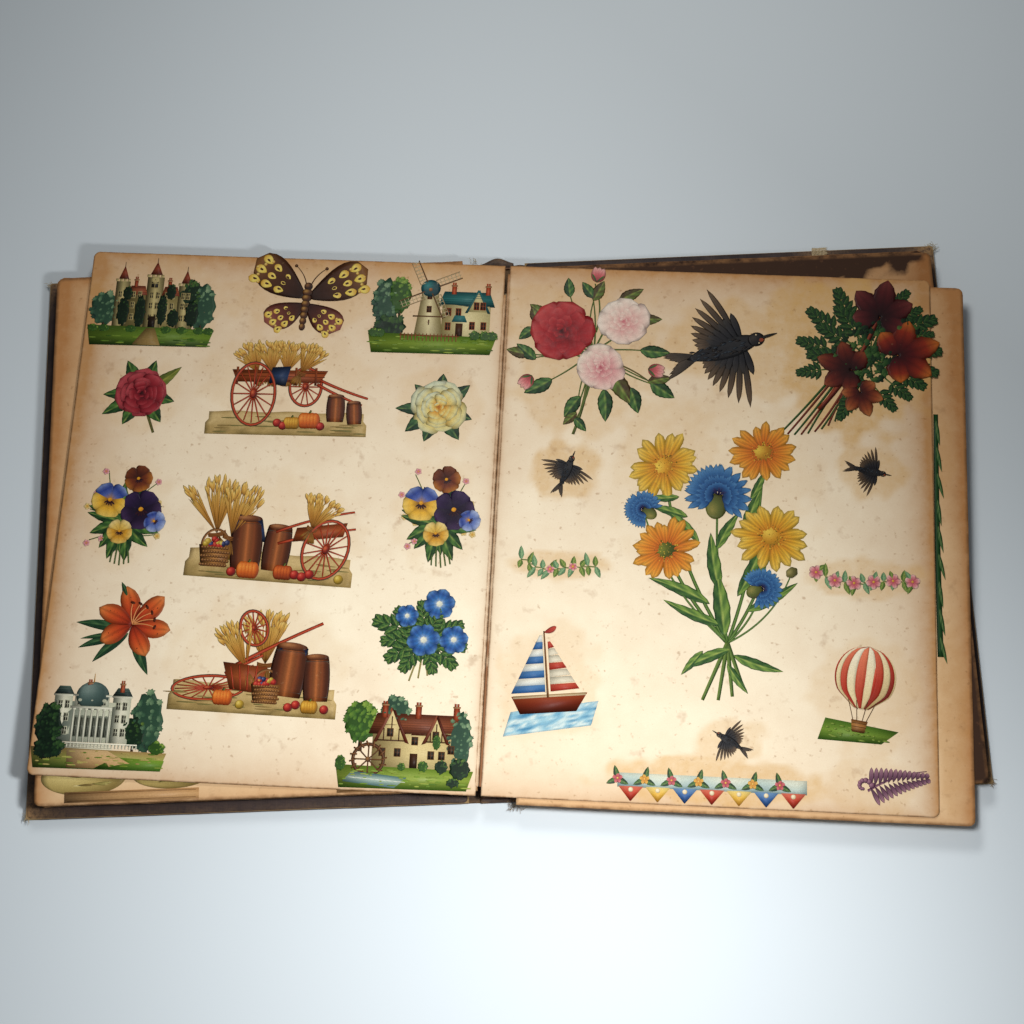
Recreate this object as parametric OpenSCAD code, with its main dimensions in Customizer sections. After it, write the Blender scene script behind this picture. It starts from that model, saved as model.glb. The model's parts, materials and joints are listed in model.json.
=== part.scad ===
// Scrap album lying open near its middle, in millimetres.
// +Z is up, X runs across the open book and Y along its spine, with the head at +Y.
// The origin is under the middle of the spine, on the face that lies on the table.
// The two top leaves and the one beneath on the right have come loose from their
// guards and lie askew, so they have a page frame of their own.

/* [Case] */
// Width of each board, from the joint groove to the fore-edge
board_w = 292; // [240:1:340]
// Height of the boards, head to tail
board_h = 385; // [340:1:460]
// Thickness of the strawboard
board_t = 3; // [2:0.1:4]
// Thickness of the book cloth
cloth_t = 0.5; // [0.3:0.05:0.8]
// Width of the spine stiffener
spine_w = 34; // [32:0.5:44]
// Thickness of the spine stiffener
stiffener_t = 1.6; // [1:0.1:2]
// Width of the joint groove between stiffener and board
groove_w = 8; // [7:0.5:12]
// Width of the cloth turned over the board edges
turn_in_w = 16; // [10:1:24]
// Thickness of the pastedown
pastedown_t = 0.4; // [0.2:0.05:0.5]
// Corner radius of the boards
board_r = 2; // [1:0.5:5]

/* [Spine] */
// Thickness of the open-weave lining glued to the stiffener
lining_t = 0.3; // [0.2:0.05:0.5]
// Width of each sewing tape
tape_w = 14; // [8:1:20]
// Thickness of each sewing tape
tape_t = 0.3; // [0.2:0.05:0.5]
// Number of sewing tapes
tape_count = 5; // [3:1:7]
// Diameter of the sewing thread
thread_d = 0.4; // [0.3:0.05:0.6]
// Stitches laid over each tape
stitch_count = 7; // [3:1:11]
// Diameter of the head and tail bands
band_d = 1.5; // [1:0.1:1.6]
// Thickness of the linen guards
guard_t = 0.3; // [0.2:0.05:0.5]
// Space between the guards and what stands beside them
guard_clear = 0.3; // [0.2:0.05:0.5]

/* [Leaves] */
// Height of a leaf
leaf_h = 375; // [330:1:384]
// Width of the loose leaves, which still have their inner margin
loose_w = 294.5; // [250:0.5:310]
// Width of the bound leaves, from guard to fore-edge
bound_w = 288.5; // [240:0.5:300]
// Thickness of a leaf
leaf_t = 0.5; // [0.3:0.05:0.6]
// Space that the scraps keep between leaves
leaf_gap = 0.35; // [0.3:0.05:0.5]
// Space at the foot of the bound leaves, where the loose leaves' corners swing by
foot_clear = 1.5; // [1.45:0.05:2.5]
// Corner radius of a leaf
leaf_r = 5; // [2:0.5:12]
// Bound leaves in each section
section_leaves = 4; // [3:1:5]
// How far the edges of the bound leaves wander
leaf_wander = 0.8; // [0:0.1:2]
// How far the bound leaves of the front half lie towards the head
front_dy = 3; // [-4:0.5:4]
// How far the bound leaves of the back half lie towards the head
back_dy = -4; // [-4:0.5:4]
// Width of the second leaf on the left
second_w = 289.5; // [240:0.5:300]
// How far the second leaf on the left lies towards the head
second_dy = 2; // [0:0.5:4]
// Width of the third leaf on the right
third_w = 292.5; // [240:0.5:300]
// How far the third leaf on the right lies towards the tail
third_dy = -6; // [-8:0.5:0]

/* [Loose leaves] */
// Angle that the loose leaves have turned, clockwise from above
loose_turn = 4.85; // [3:0.05:6]
// Middle of the loose fold across the book
fold_x = -2.45; // [-4:0.05:0]
// Middle of the loose fold along the book
fold_y = -2.9; // [-6:0.1:2]
// Half the gap between the two loose leaves at the fold
fold_half = 1.65; // [1.2:0.05:3]
// Width of the torn guard left along the fold, on each side
fold_strip_w = 22; // [4:1:30]
// How far the torn guard stops short of the head and tail
fold_strip_short = 22; // [20:1:60]
// Gap between the two torn guards
fold_strip_gap = 0.6; // [0.4:0.1:2]
// Height of the fold line above the loose leaves
fold_rise = 0.6; // [0.5:0.05:1]
// How far the loose leaf on the right has slipped outwards
slip_x = 23; // [10:0.5:30]
// How far it has slipped towards the tail
slip_y = -4.5; // [-8:0.5:0]
// How far the leaf under the left top leaf stays inside its edges
under_inset = 1.5; // [0.5:0.5:4]

/* [Scraps] */
// Thickness of a die-cut scrap
scrap_t = 0.2; // [0.1:0.05:0.25]
// Points along each petal of a cut outline
petal_steps = 4; // [4:1:8]
// Width of a cut stem
stem_w = 2.4; // [1.5:0.1:4]
// Petals round a daisy
daisy_petals = 13; // [9:1:17]
// Petals round a cornflower
cornflower_petals = 9; // [7:1:11]
// Width and height of the four view scraps in the left leaf's corners
view_size = [90, 66]; // [60:120]
// Width and height of the three harvest scraps down the left leaf
harvest_size = [114, 76]; // [70:130]

/* [Hidden] */
$fn = 48;

// Heights of the case
board_top = board_t + 2 * cloth_t;
hinge_x = spine_w / 2 + groove_w / 2;
hinge_slit = cloth_t / 2 + 0.05;
board_x = spine_w / 2 + groove_w;
lining_z = cloth_t + stiffener_t;
tape_z = lining_z + lining_t;
thread_z = tape_z + tape_t;

// The bound leaves turn with each board, about this line at the foot of the guards
block_x = hinge_x - (board_top - cloth_t / 2);
block_edge = block_x + foot_clear;
stack_z = board_top + leaf_gap;
pitch = leaf_t + leaf_gap;
sections = 3;
bound_level = sections * section_leaves + 1;
under_level = bound_level + 1;

// The loose leaves lie above the second leaf, with the torn guards between
under_strip = 0.25;
over_strip = 0.2;
loose_z = level(under_level) + leaf_t + under_strip + scrap_t + over_strip;
loose_top = loose_z + leaf_t;
fold_z = loose_top + fold_rise;
close_x = fold_x - fold_y * tan(loose_turn);
close_z = fold_z + 0.3;
strip_z = level(under_level) + leaf_t + under_strip;

cloth_col = "#3f3031";
board_col = "#8a6f4d";
paper_col = "#d8bb8e";
inner_paper_col = "#c9a97c";
linen_col = "#cdbb97";

function level(i) = stack_z + i * pitch;
function wander(i, phase) = leaf_wander * sin(137 * i + phase);
function spot(r, a) = [r * cos(a), r * sin(a)];
function lobes(r, n, depth) = [
    for (i = [0:n * petal_steps - 1])
        let (a = 360 * i / (n * petal_steps))
            spot(r * (1 - depth * (0.5 - 0.5 * cos(n * a))), a)
];
function pod(l, w, steps = 9) = concat(
    [for (i = [0:steps]) [l * i / steps, -w / 2 * sin(180 * i / steps)]],
    [for (i = [steps - 1:-1:1]) [l * i / steps, w / 2 * sin(180 * i / steps)]]
);

// A sheet of paper lying with its inner edge on the Y axis and its width along +X
module sheet(w, h, t, r) {
    linear_extrude(t) {
        translate([0, -h / 2]) square([w - r, h]);
        translate([w - 2 * r, -h / 2 + r]) square([2 * r, h - 2 * r]);
        for (s = [-1, 1]) translate([w - r, s * (h / 2 - r)]) circle(r);
    }
}

// A slab of the case with its outer corners rounded, from x0 outwards
module case_slab(x0, w, h, t, r) {
    translate([x0, 0, 0]) sheet(w, h, t, r);
}

module on_left() {
    mirror([1, 0, 0]) children();
}

// The loose leaves' own frame: Y along the loose fold
module loose_frame() {
    translate([fold_x, fold_y, 0]) rotate([0, 0, -loose_turn]) children();
}

// Case
module cover_cloth() {
    color(cloth_col) difference() {
        case_slab(hinge_x + hinge_slit, board_x + board_w - hinge_x - hinge_slit, board_h,
            board_top, board_r);
        translate([hinge_x - 1, -board_h / 2 - 1, cloth_t])
            cube([board_x - hinge_x + 1, board_h + 2, board_top]);
        translate([0, 0, cloth_t])
            case_slab(board_x - 1, board_w - cloth_t + 1, board_h - 2 * cloth_t, board_t,
                board_r - cloth_t);
        translate([board_x - 1, -board_h / 2 + turn_in_w, cloth_t])
            cube([board_w - turn_in_w + 1, board_h - 2 * turn_in_w, board_top]);
    }
}

module board_core() {
    color(board_col) translate([0, 0, cloth_t])
        case_slab(board_x, board_w - cloth_t, board_h - 2 * cloth_t, board_t,
            board_r - cloth_t);
}

module pastedown() {
    edge = 0.2;
    color(inner_paper_col)
        translate([board_x + edge, -board_h / 2 + turn_in_w + edge, cloth_t + board_t])
            cube([board_w - turn_in_w - 2 * edge, board_h - 2 * (turn_in_w + edge), pastedown_t]);
}

// Spine
module spine_cloth() {
    half = hinge_x - hinge_slit;
    color(cloth_col) {
        translate([-half, -board_h / 2, 0]) cube([2 * half, board_h, cloth_t]);
        for (s = [-1, 1]) translate([-spine_w / 2, s * (board_h / 2 - cloth_t / 2) - cloth_t / 2, 0])
            cube([spine_w, cloth_t, lining_z]);
    }
}

module spine_stiffener() {
    color(board_col) translate([-spine_w / 2, -board_h / 2 + cloth_t, cloth_t])
        cube([spine_w, board_h - 2 * cloth_t, stiffener_t]);
}

module spine_lining() {
    color(linen_col) translate([-spine_w / 2, -leaf_h / 2, lining_z])
        cube([spine_w, leaf_h, lining_t]);
}

function tape_y(i) = (i - (tape_count - 1) / 2) * (leaf_h - 50) / (tape_count - 1);

module sewing_tapes() {
    color(linen_col) for (i = [0:tape_count - 1])
        translate([-spine_w / 2, tape_y(i) - tape_w / 2, tape_z]) cube([spine_w, tape_w, tape_t]);
}

module sewing_thread() {
    color("#b9a98a") for (i = [0:tape_count - 1]) for (j = [0:stitch_count - 1])
        translate([(j - (stitch_count - 1) / 2) * (spine_w - 4) / (stitch_count - 1),
            tape_y(i), thread_z + thread_d / 2])
            rotate([90, 0, 0]) cylinder(d = thread_d, h = tape_w, center = true);
}

module end_band(side) {
    color("#7a5a45") translate([0, side * (leaf_h / 2 + guard_clear + band_d / 2), tape_z + band_d / 2])
        rotate([0, 90, 0]) cylinder(d = band_d, h = spine_w - 2, center = true);
    color("#7a5a45") translate([-spine_w / 2 + 1, side * (leaf_h / 2 + guard_clear + band_d / 2) - band_d / 2,
        lining_z]) cube([spine_w - 2, band_d, tape_z + band_d / 2 - lining_z]);
}

// Linen guards: each is sewn through the tapes and rises in a curve to its section
guard_steps = 8;
guard_base = thread_z + thread_d + guard_t / 2 + 0.05;
function guard_foot(i) = block_x - 2.2 - 3.1 * i;
function guard_head(i) = level(1 + i * section_leaves + (section_leaves - 1) / 2);
function guard_point(i, t, off) = [
    guard_foot(i) + (block_edge - guard_clear - guard_t - guard_foot(i)) * sin(90 * t) + off[0],
    guard_base + (guard_head(i) - guard_base) * (1 - cos(90 * t)) + off[1]
];

module guards() {
    color(linen_col) for (i = [0:sections - 1])
        rotate([90, 0, 0]) linear_extrude(leaf_h - 40, center = true)
            polygon(concat(
                [for (j = [0:guard_steps]) guard_point(i, j / guard_steps, [0, 0])],
                [for (j = [guard_steps:-1:0]) guard_point(i, j / guard_steps, [guard_t, -guard_t / 2])]
            ));
}

// Bound leaves, lying on the right; the front half is their mirror image
module bound_leaf(i, w, dy = 0) {
    translate([block_edge, dy, level(i)]) sheet(w, leaf_h, leaf_t, leaf_r);
}

module flyleaf(phase, dy) {
    color(inner_paper_col) bound_leaf(0, bound_w + wander(0, phase), dy);
}

module section(k, phase, dy) {
    color(paper_col) for (j = [0:section_leaves - 1])
        let (i = 1 + (k - 1) * section_leaves + j)
            bound_leaf(i, bound_w + wander(i, phase), dy + wander(i, phase + 60));
}

module left_second_leaf() {
    color(paper_col) on_left() bound_leaf(bound_level, second_w, second_dy);
}

module right_third_leaf() {
    color(paper_col) bound_leaf(bound_level, third_w, third_dy);
}

// Scraps that show along the tail of the second leaf: two cut flowers, two bare labels
second_scrap_spots = [[-279, 19], [-215, 19]];
second_label_spots = [[-244, 5, 88], [-70, 5, 80]];

module left_second_scraps() {
    tail = -leaf_h / 2 + second_dy;
    translate([0, 0, level(bound_level) + leaf_t]) linear_extrude(scrap_t) {
        for (p = second_scrap_spots) translate([p[0], tail + p[1]]) polygon(lobes(16, 7, 0.2));
        for (p = second_label_spots) translate([p[0] - p[2] / 2, tail + p[1] - 3.5]) square([p[2], 7]);
    }
}

// Torn guards along the loose fold
module fold_strip() {
    color(linen_col) translate([fold_strip_gap / 2, -leaf_h / 2 + fold_strip_short, strip_z])
        cube([fold_strip_w, leaf_h - 2 * fold_strip_short, over_strip]);
}

// Loose leaves
module loose_leaf() {
    color("#e3c998") translate([fold_half, 0, loose_z]) sheet(loose_w, leaf_h, leaf_t, leaf_r);
}

// The other half of the slipped leaf's sheet, out of sight under the left top leaf
module left_under_leaf() {
    color(paper_col) loose_frame() on_left()
        translate([fold_half + under_inset, 0, level(under_level)])
            sheet(loose_w - 2 * under_inset, leaf_h - 2 * under_inset, leaf_t, leaf_r);
}

module slipped_leaf() {
    color(paper_col) loose_frame()
        translate([fold_half + slip_x, slip_y, level(under_level)]) sheet(loose_w, leaf_h, leaf_t, leaf_r);
}

module stem_scrap() {
    color("#4d6b4a") loose_frame()
        translate([loose_w + slip_x - 7, 0, level(under_level) + leaf_t]) linear_extrude(scrap_t) {
            polygon([[1.5, -80], [4, -80], [2.4, 88], [0, 88]]);
            for (i = [0:3]) translate([2.6, 66 - 38 * i]) rotate(-62 + 8 * i) polygon(pod(13, 5));
        }
}

// Cut outlines
module blossom(p, r, n, depth) {
    translate(p) polygon(lobes(r, n, depth));
}

module leaflet(p, a, l, w) {
    translate(p) rotate(a) polygon(pod(l, w));
}

module stem(p, q) {
    d = q - p;
    translate(p) rotate(atan2(d[1], d[0])) translate([0, -stem_w / 2]) square([norm(d), stem_w]);
}

module fan(p, a0, a1, count, l, w) {
    for (i = [0:count - 1]) leaflet(p, a0 + (a1 - a0) * i / (count - 1), l, w);
    translate(p) circle(l / 7);
}

module cut(col, z = loose_top) {
    color(col) loose_frame() translate([0, 0, z]) linear_extrude(scrap_t) children();
}

// A view of country with a wavy top of trees and clouds
function view_rim(w, h, seed) = [
    for (i = [0:71])
        let (a = 5 * i,
            c = cos(a),
            s = sin(a),
            k = 1 / pow(pow(abs(c), 3) + pow(abs(s), 3), 1 / 3),
            wave = 1 - 0.05 * (1 + sin(7 * a + seed)) - 0.02 * (1 + sin(11 * a + 2 * seed)))
            [w / 2 * k * c * wave, h / 2 * k * s * wave]
];

view_spots = [[-249.3, 151], [-50.5, 152], [-250.5, -148.5], [-49, -152]];

module view_scraps() {
    cut("#b9ae7f") for (i = [0:3])
        translate(view_spots[i]) polygon(view_rim(view_size[0], view_size[1], 95 * i));
}

module butterfly_scrap() {
    cut("#8a6a35") translate([-141, 155]) {
        for (s = [-1, 1]) {
            translate([s * 19.5, 7]) rotate(s * 24) polygon(lobes(23, 5, 0.12));
            translate([s * 13, -12]) rotate(s * 50) polygon(lobes(15, 5, 0.12));
            leaflet([s * 0.5, 8], 90 - s * 24, 20, 2.4);
        }
        leaflet([0, -25], 90, 44, 9);
    }
}

module rose(p, r) {
    blossom(p, r, 7, 0.12);
}

module rose_scraps() {
    cut("#8e2b25") {
        rose([-250, 81], 21);
        fan([-250, 79], 200, 340, 3, 32, 13);
        fan([-250, 79], 20, 160, 3, 27, 12);
    }
    cut("#d9a83a") {
        rose([-42.5, 79], 20);
        fan([-42.5, 77], 215, 325, 3, 30, 12);
        fan([-42.5, 77], 10, 170, 3, 27, 12);
    }
}

module pansy_scraps() {
    cut("#6c4a86") for (c = [[-252, -6.6, 0], [-38, 1, 40]]) translate([c[0], c[1]]) {
        for (i = [0:2]) blossom(spot(16, 30 + c[2] + 120 * i) + [0, 6], 15, 5, 0.16);
        fan([0, 0], 235, 305, 3, 36, 11);
        stem([0, 0], [2, -34]);
    }
}

module lily_scrap() {
    cut("#c9692c") translate([-237.6, -84]) {
        blossom([0, 2], 26, 6, 0.62);
        fan([0, 0], 60, 300, 5, 29, 8);
        fan([0, 0], -60, 40, 3, 27, 8);
    }
}

module blue_flower_scrap() {
    cut("#5b6ea6") translate([-41, -83]) {
        for (i = [0:4]) blossom(spot(16, 72 * i), 10, 5, 0.25);
        blossom([0, 0], 12, 5, 0.2);
        fan([0, 0], 20, 340, 7, 29, 9);
    }
}

// Heaps of fruit, gourds and sheaves on a strip of ground
harvest_spots = [[-148, 92], [-149, -13.5], [-152, -103]];

module harvest_scraps() {
    w = harvest_size[0];
    h = harvest_size[1];
    cut("#b4733a") for (i = [0:2]) translate(harvest_spots[i]) {
        polygon([[-w / 2, -h / 2 + 6], [-w / 2 + 5, -h / 2], [w / 2 - 6, -h / 2], [w / 2, -h / 2 + 7],
            [w / 2 - 8, -h / 2 + 15], [-w / 2 + 8, -h / 2 + 14]]);
        for (j = [0:4]) translate([(j - 2) * w / 5.6, -h / 6 + h / 9 * cos(55 * (j - 2 + i))])
            circle(h / 4.4);
        for (j = [0:2]) translate([(j - 1) * w / 7, h / 7]) circle(h / 4.6);
        for (s = [-1, 1]) fan([s * w / 12, h / 10], 90 - s * 10, 90 - s * 62, 3, h / 2.7, h / 8);
    }
}

module rose_bouquet_scrap() {
    cut("#a33b3a") translate([59, 119]) {
        rose([-19, 22], 25);
        rose([24, 29], 21);
        rose([9, -6], 20);
        blossom([-37, -12], 8, 5, 0.2);
        blossom([40, -4], 8, 5, 0.2);
        fan([0, 8], 150, 270, 5, 48, 15);
        fan([0, 8], -80, 40, 5, 48, 15);
        fan([0, 12], 60, 130, 3, 45, 14);
        stem([0, 0], [-8, -56]);
    }
}

// Swallows: [x, y, turn, half span]
swallows = [[156, 131, 20, 46], [48, 37, 70, 19], [254, 44.5, -10, 18], [161, -144, 150, 16]];

module swallow_scraps() {
    cut("#26272c") for (b = swallows) translate([b[0], b[1]]) rotate(b[2]) {
        s = b[3];
        leaflet([-0.7 * s, 0], 0, 1.35 * s, 0.36 * s);
        for (m = [-1, 1]) {
            leaflet([0.1 * s, 0], 90 * m + 28 * m, 0.95 * s, 0.3 * s);
            leaflet([-0.45 * s, 0], 180 + 13 * m, 0.62 * s, 0.13 * s);
        }
    }
}

module autumn_leaf_scrap() {
    cut("#9c3d22") translate([245, 126]) {
        for (p = [[-24, 22, 30, 10], [22, 14, 28, -20], [-6, -20, 24, 40]])
            translate([p[0], p[1]]) rotate(p[3]) polygon(lobes(p[2], 5, 0.42));
        fan([0, 0], 60, 120, 4, 55, 9);
        fan([0, 0], -70, 20, 5, 54, 9);
        fan([0, 0], 160, 230, 4, 50, 9);
        stem([0, 0], [36, -48]);
    }
}

daisy_spots = [[-37, 66, 27], [30, 78, 25], [36, 18, 27], [-34, 6, 24]];
cornflower_spots = [[0, 44, 16], [-50, 34, 13], [6, -20, 15]];
bouquet_tie = [8, -58];

module daisy_bouquet_scrap() {
    cut("#cf9a2c") translate([151, -23]) {
        for (p = daisy_spots) {
            blossom([p[0], p[1]], p[2], daisy_petals, 0.34);
            stem([p[0], p[1]], bouquet_tie);
        }
        for (p = cornflower_spots) {
            blossom([p[0], p[1]], p[2], cornflower_petals, 0.36);
            stem([p[0], p[1]], bouquet_tie);
        }
        fan(bouquet_tie, 40, 150, 6, 58, 11);
        fan(bouquet_tie, 235, 305, 4, 44, 5);
    }
}

// A garland is a shallow arc of small flowers on leaves: [x, y, length, flower radius]
garlands = [[45, -30, 56, 5], [249, -31, 68, 8]];

module garland_scraps() {
    cut("#c98a86") for (g = garlands) translate([g[0], g[1]]) {
        reach = g[2] / 2 - g[3];
        for (i = [0:2]) blossom([(i - 1) * reach, 0], g[3], 5, 0.2);
        for (i = [0:1]) fan([(i - 0.5) * reach, 0], 45, 225, 2, 1.7 * g[3], 0.8 * g[3]);
        stem([-reach, 0], [reach, 0]);
    }
}

module boat_scrap() {
    cut("#6f8fa8") translate([42, -109]) {
        polygon([[-20, -25], [20, -25], [27, -14], [-27, -14]]);
        polygon([[-2, -12], [-2, 30], [-24, -10]]);
        polygon([[1, -12], [21, -10], [1, 26]]);
        translate([-3, -16]) square([5, 47]);
        translate([-28, -30]) square([56, 8]);
    }
}

module balloon_scrap() {
    cut("#7c9a52") translate([247.7, -110]) {
        translate([0, 10]) circle(20);
        polygon([[-4, -20], [4, -20], [13, -4], [-13, -4]]);
        polygon([[-24, -30], [24, -30], [26, -23], [14, -18], [-14, -17], [-26, -24]]);
    }
}

module bunting_scrap() {
    w = 122;
    flags = 7;
    cut("#a9bfc9") translate([150.6, -171]) {
        translate([-w / 2, -4]) square([w, 9]);
        for (i = [0:flags - 1]) translate([-w / 2 + w * (i + 0.5) / flags, -4])
            polygon([[0, -9], [w / flags / 2.2, 0.5], [-w / flags / 2.2, 0.5]]);
    }
}

module fern_scrap() {
    cut("#9d7f9c") translate([252, -170]) rotate(14) {
        leaflet([0, 0], 0, 42, 4);
        for (i = [0:6]) for (s = [-1, 1]) leaflet([4 + 4.6 * i, 0], s * 58, 15 - 1.5 * i, 4.5);
    }
}

spine_cloth();
spine_stiffener();
spine_lining();
sewing_tapes();
sewing_thread();
end_band(1);  // head_band
end_band(-1);  // tail_band
on_left() guards();  // front_guards
guards();  // back_guards
on_left() board_core();  // front_board_core
on_left() cover_cloth();  // front_cover_cloth
on_left() pastedown();  // front_pastedown
board_core();  // back_board_core
cover_cloth();  // back_cover_cloth
pastedown();  // back_pastedown
on_left() flyleaf(0, front_dy);  // front_flyleaf
on_left() section(1, 0, front_dy);  // front_section_1
on_left() section(2, 0, front_dy);  // front_section_2
on_left() section(3, 0, front_dy);  // front_section_3
left_second_leaf();
left_second_scraps();
flyleaf(90, back_dy);  // back_flyleaf
section(1, 90, back_dy);  // back_section_1
section(2, 90, back_dy);  // back_section_2
section(3, 90, back_dy);  // back_section_3
right_third_leaf();
loose_frame() on_left() fold_strip();  // left_fold_strip
left_under_leaf();
loose_frame() fold_strip();  // right_fold_strip
loose_frame() on_left() loose_leaf();  // left_top_leaf
view_scraps();
butterfly_scrap();
rose_scraps();
pansy_scraps();
lily_scrap();
blue_flower_scrap();
harvest_scraps();
loose_frame() loose_leaf();  // right_top_leaf
rose_bouquet_scrap();
swallow_scraps();
autumn_leaf_scrap();
daisy_bouquet_scrap();
garland_scraps();
boat_scrap();
balloon_scrap();
bunting_scrap();
fern_scrap();
slipped_leaf();
stem_scrap();
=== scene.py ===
# %% [markdown]
# # A scrap album, lying open
#
# The real object is a thick cloth-bound book of heavy tan leaves, with die-cut colour prints pasted on
# them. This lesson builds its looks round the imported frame: camera and light first, then the finishes, the
# leaves, the covers and the sewing, and at last the scraps, cut and inked one petal at a time.

# %% Frame, units and the camera
import json
import math
import random
import bpy
import bmesh
from mathutils import Matrix, Vector, noise


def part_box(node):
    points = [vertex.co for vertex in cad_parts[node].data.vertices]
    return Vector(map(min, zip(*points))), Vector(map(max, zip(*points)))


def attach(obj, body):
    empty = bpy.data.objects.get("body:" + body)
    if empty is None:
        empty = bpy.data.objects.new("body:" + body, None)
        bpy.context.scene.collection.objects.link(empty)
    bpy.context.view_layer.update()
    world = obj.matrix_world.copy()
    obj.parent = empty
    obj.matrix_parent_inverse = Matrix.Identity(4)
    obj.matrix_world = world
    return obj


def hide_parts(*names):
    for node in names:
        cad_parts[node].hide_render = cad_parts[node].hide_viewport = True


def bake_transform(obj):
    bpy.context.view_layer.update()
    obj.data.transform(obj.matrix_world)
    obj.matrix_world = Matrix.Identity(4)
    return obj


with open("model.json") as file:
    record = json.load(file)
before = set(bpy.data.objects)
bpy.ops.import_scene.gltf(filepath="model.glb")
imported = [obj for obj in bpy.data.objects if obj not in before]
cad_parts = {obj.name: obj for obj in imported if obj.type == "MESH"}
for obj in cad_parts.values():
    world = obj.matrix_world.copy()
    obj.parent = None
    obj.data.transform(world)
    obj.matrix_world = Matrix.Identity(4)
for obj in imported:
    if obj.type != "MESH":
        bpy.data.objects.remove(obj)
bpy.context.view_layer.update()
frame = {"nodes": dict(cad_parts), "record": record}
MM = 0.001
NODES = frame["nodes"]

PHOTO_WIDTH_PX = 1024
# Lens, place and turn come from fitting a camera to the corners of the two loose leaves in the photo
FOCAL_PX = 1800
SENSOR_MM = 36
CAMERA_PLACE_M = (0.0314, -0.3600, 1.1830)
CAMERA_TURN_DEG = (17.19, 1.64, -1.91)
camera_data = bpy.data.cameras.new("camera")
camera_data.sensor_width = SENSOR_MM
camera_data.lens = FOCAL_PX / PHOTO_WIDTH_PX * SENSOR_MM
camera_data.clip_start = 0.05
camera = bpy.data.objects.new("camera", camera_data)
camera.location = CAMERA_PLACE_M
camera.rotation_euler = [math.radians(a) for a in CAMERA_TURN_DEG]
bpy.context.collection.objects.link(camera)
bpy.context.scene.camera = camera
print("camera", round(camera_data.lens, 1), "mm lens")

# %% [markdown]
# ## Colours and nodes
#
# Colours are picked as sRGB hex values, the way they are read off a swatch, and one function turns them
# into the linear numbers that shaders use.

# %% Colours
def linear(hex_code):
    """An sRGB hex value as linear red, green, blue."""
    parts = [int(hex_code[i:i + 2], 16) / 255 for i in (1, 3, 5)]
    return [c / 12.92 if c <= 0.04045 else ((c + 0.055) / 1.055) ** 2.4 for c in parts]


def rgba(hex_code):
    return linear(hex_code) + [1.0]


print("middle grey is", round(linear("#808080")[0], 3), "in linear light")


# %% [markdown]
# One small function adds a shader node of any kind, with its settings, values and links. The finishes are
# built with it from two steps that come back in each of them: patterns that are fixed to the piece, and
# tints that are laid over one another by these patterns.

# %% Nodes
def plug(node, inputs):
    """Links each input that is given a socket, and sets each one that is given a value."""
    for key, value in inputs.items():
        if isinstance(value, bpy.types.NodeSocket):
            node.id_data.links.new(value, node.inputs[key])
        else:
            node.inputs[key].default_value = value


def add(mat, kind, inputs, output=0, **settings):
    """Adds a shader node to mat with its settings and inputs, and returns one of its outputs."""
    node = mat.node_tree.nodes.new("ShaderNode" + kind)
    for key, value in settings.items():
        setattr(node, key, value)
    plug(node, inputs)
    return node.outputs[output]


def new_material(name, roughness):
    """A material and its Principled shader. Paper, cotton, starch and paint all have an IOR near 1.5."""
    mat = bpy.data.materials.new(name)
    mat.use_nodes = True
    shader = mat.node_tree.nodes["Principled BSDF"]
    plug(shader, {"Roughness": roughness, "IOR": 1.5})
    return mat, shader


def patterns(mat, *grains):
    """Noise fixed to the piece, for each of grains: its size in millimetres, detail and roughness."""
    place = add(mat, "TexCoord", {}, "Object")
    return [add(mat, "TexNoise", {"Vector": place, "Scale": 1 / (mm * MM), "Detail": detail, "Roughness": rough})
            for mm, detail, rough in grains]


# A Mix node has sockets for every kind of data, and these are the numbers of its colour ones
AMOUNT, UNDER, OVER, MIXED = 0, 6, 7, 2


def tinted(mat, colour, layers):
    """A colour with tints laid over it.

    Each layer has its tint, how that blends, a mask, and a pattern whose values from low to high give from
    least to most of the tint.
    """
    for tint, blend, mask, pattern, low, high, least, most in layers:
        share = add(mat, "MapRange", {"Value": pattern, "From Min": low, "From Max": high, "To Min": least,
                                      "To Max": most})
        amount = add(mat, "Math", {0: mask, 1: share}, operation="MULTIPLY")
        colour = add(mat, "Mix", {AMOUNT: amount, UNDER: colour, OVER: rgba(tint)}, MIXED, data_type="RGBA",
                     blend_type=blend)
    return colour


print("node helpers ready")

# %% [markdown]
# ## Floor and light
#
# The album lies on a pale table. In the photo the table is brightest below the tail and darkens towards
# the head and the sides, with soft shadows beside the book. A low lamp over the tail half and a weaker,
# higher one over the head give that fall-off. Their places and powers were found by fitting the table's
# brightness at points all round the book; the world adds a faint even fill.

# %% Floor and lamps
FLOOR_REACH_M = 4
bm = bmesh.new()
bmesh.ops.create_grid(bm, x_segments=1, y_segments=1, size=FLOOR_REACH_M)
floor_mesh = bpy.data.meshes.new("floor")
bm.to_mesh(floor_mesh)
bm.free()
floor = bpy.data.objects.new("floor", floor_mesh)
bpy.context.collection.objects.link(floor)
# Matt paint: an even, slightly bluish white in which no grain shows
floor_mat, floor_shader = new_material("painted_table", 0.6)
plug(floor_shader, {"Base Color": rgba("#d3dbdf")})
floor_mesh.materials.append(floor_mat)


def area_lamp(name, place, aim, size, watts, colour):
    """A rectangular lamp at place that faces aim, both in metres."""
    data = bpy.data.lights.new(name, "AREA")
    data.shape = "RECTANGLE"
    data.size, data.size_y = size
    data.energy = watts
    data.color = linear(colour)
    lamp = bpy.data.objects.new(name, data)
    lamp.location = place
    lamp.visible_camera = False
    lamp.rotation_euler = (Vector(aim) - Vector(place)).to_track_quat("-Z", "Y").to_euler()
    bpy.context.collection.objects.link(lamp)


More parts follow.
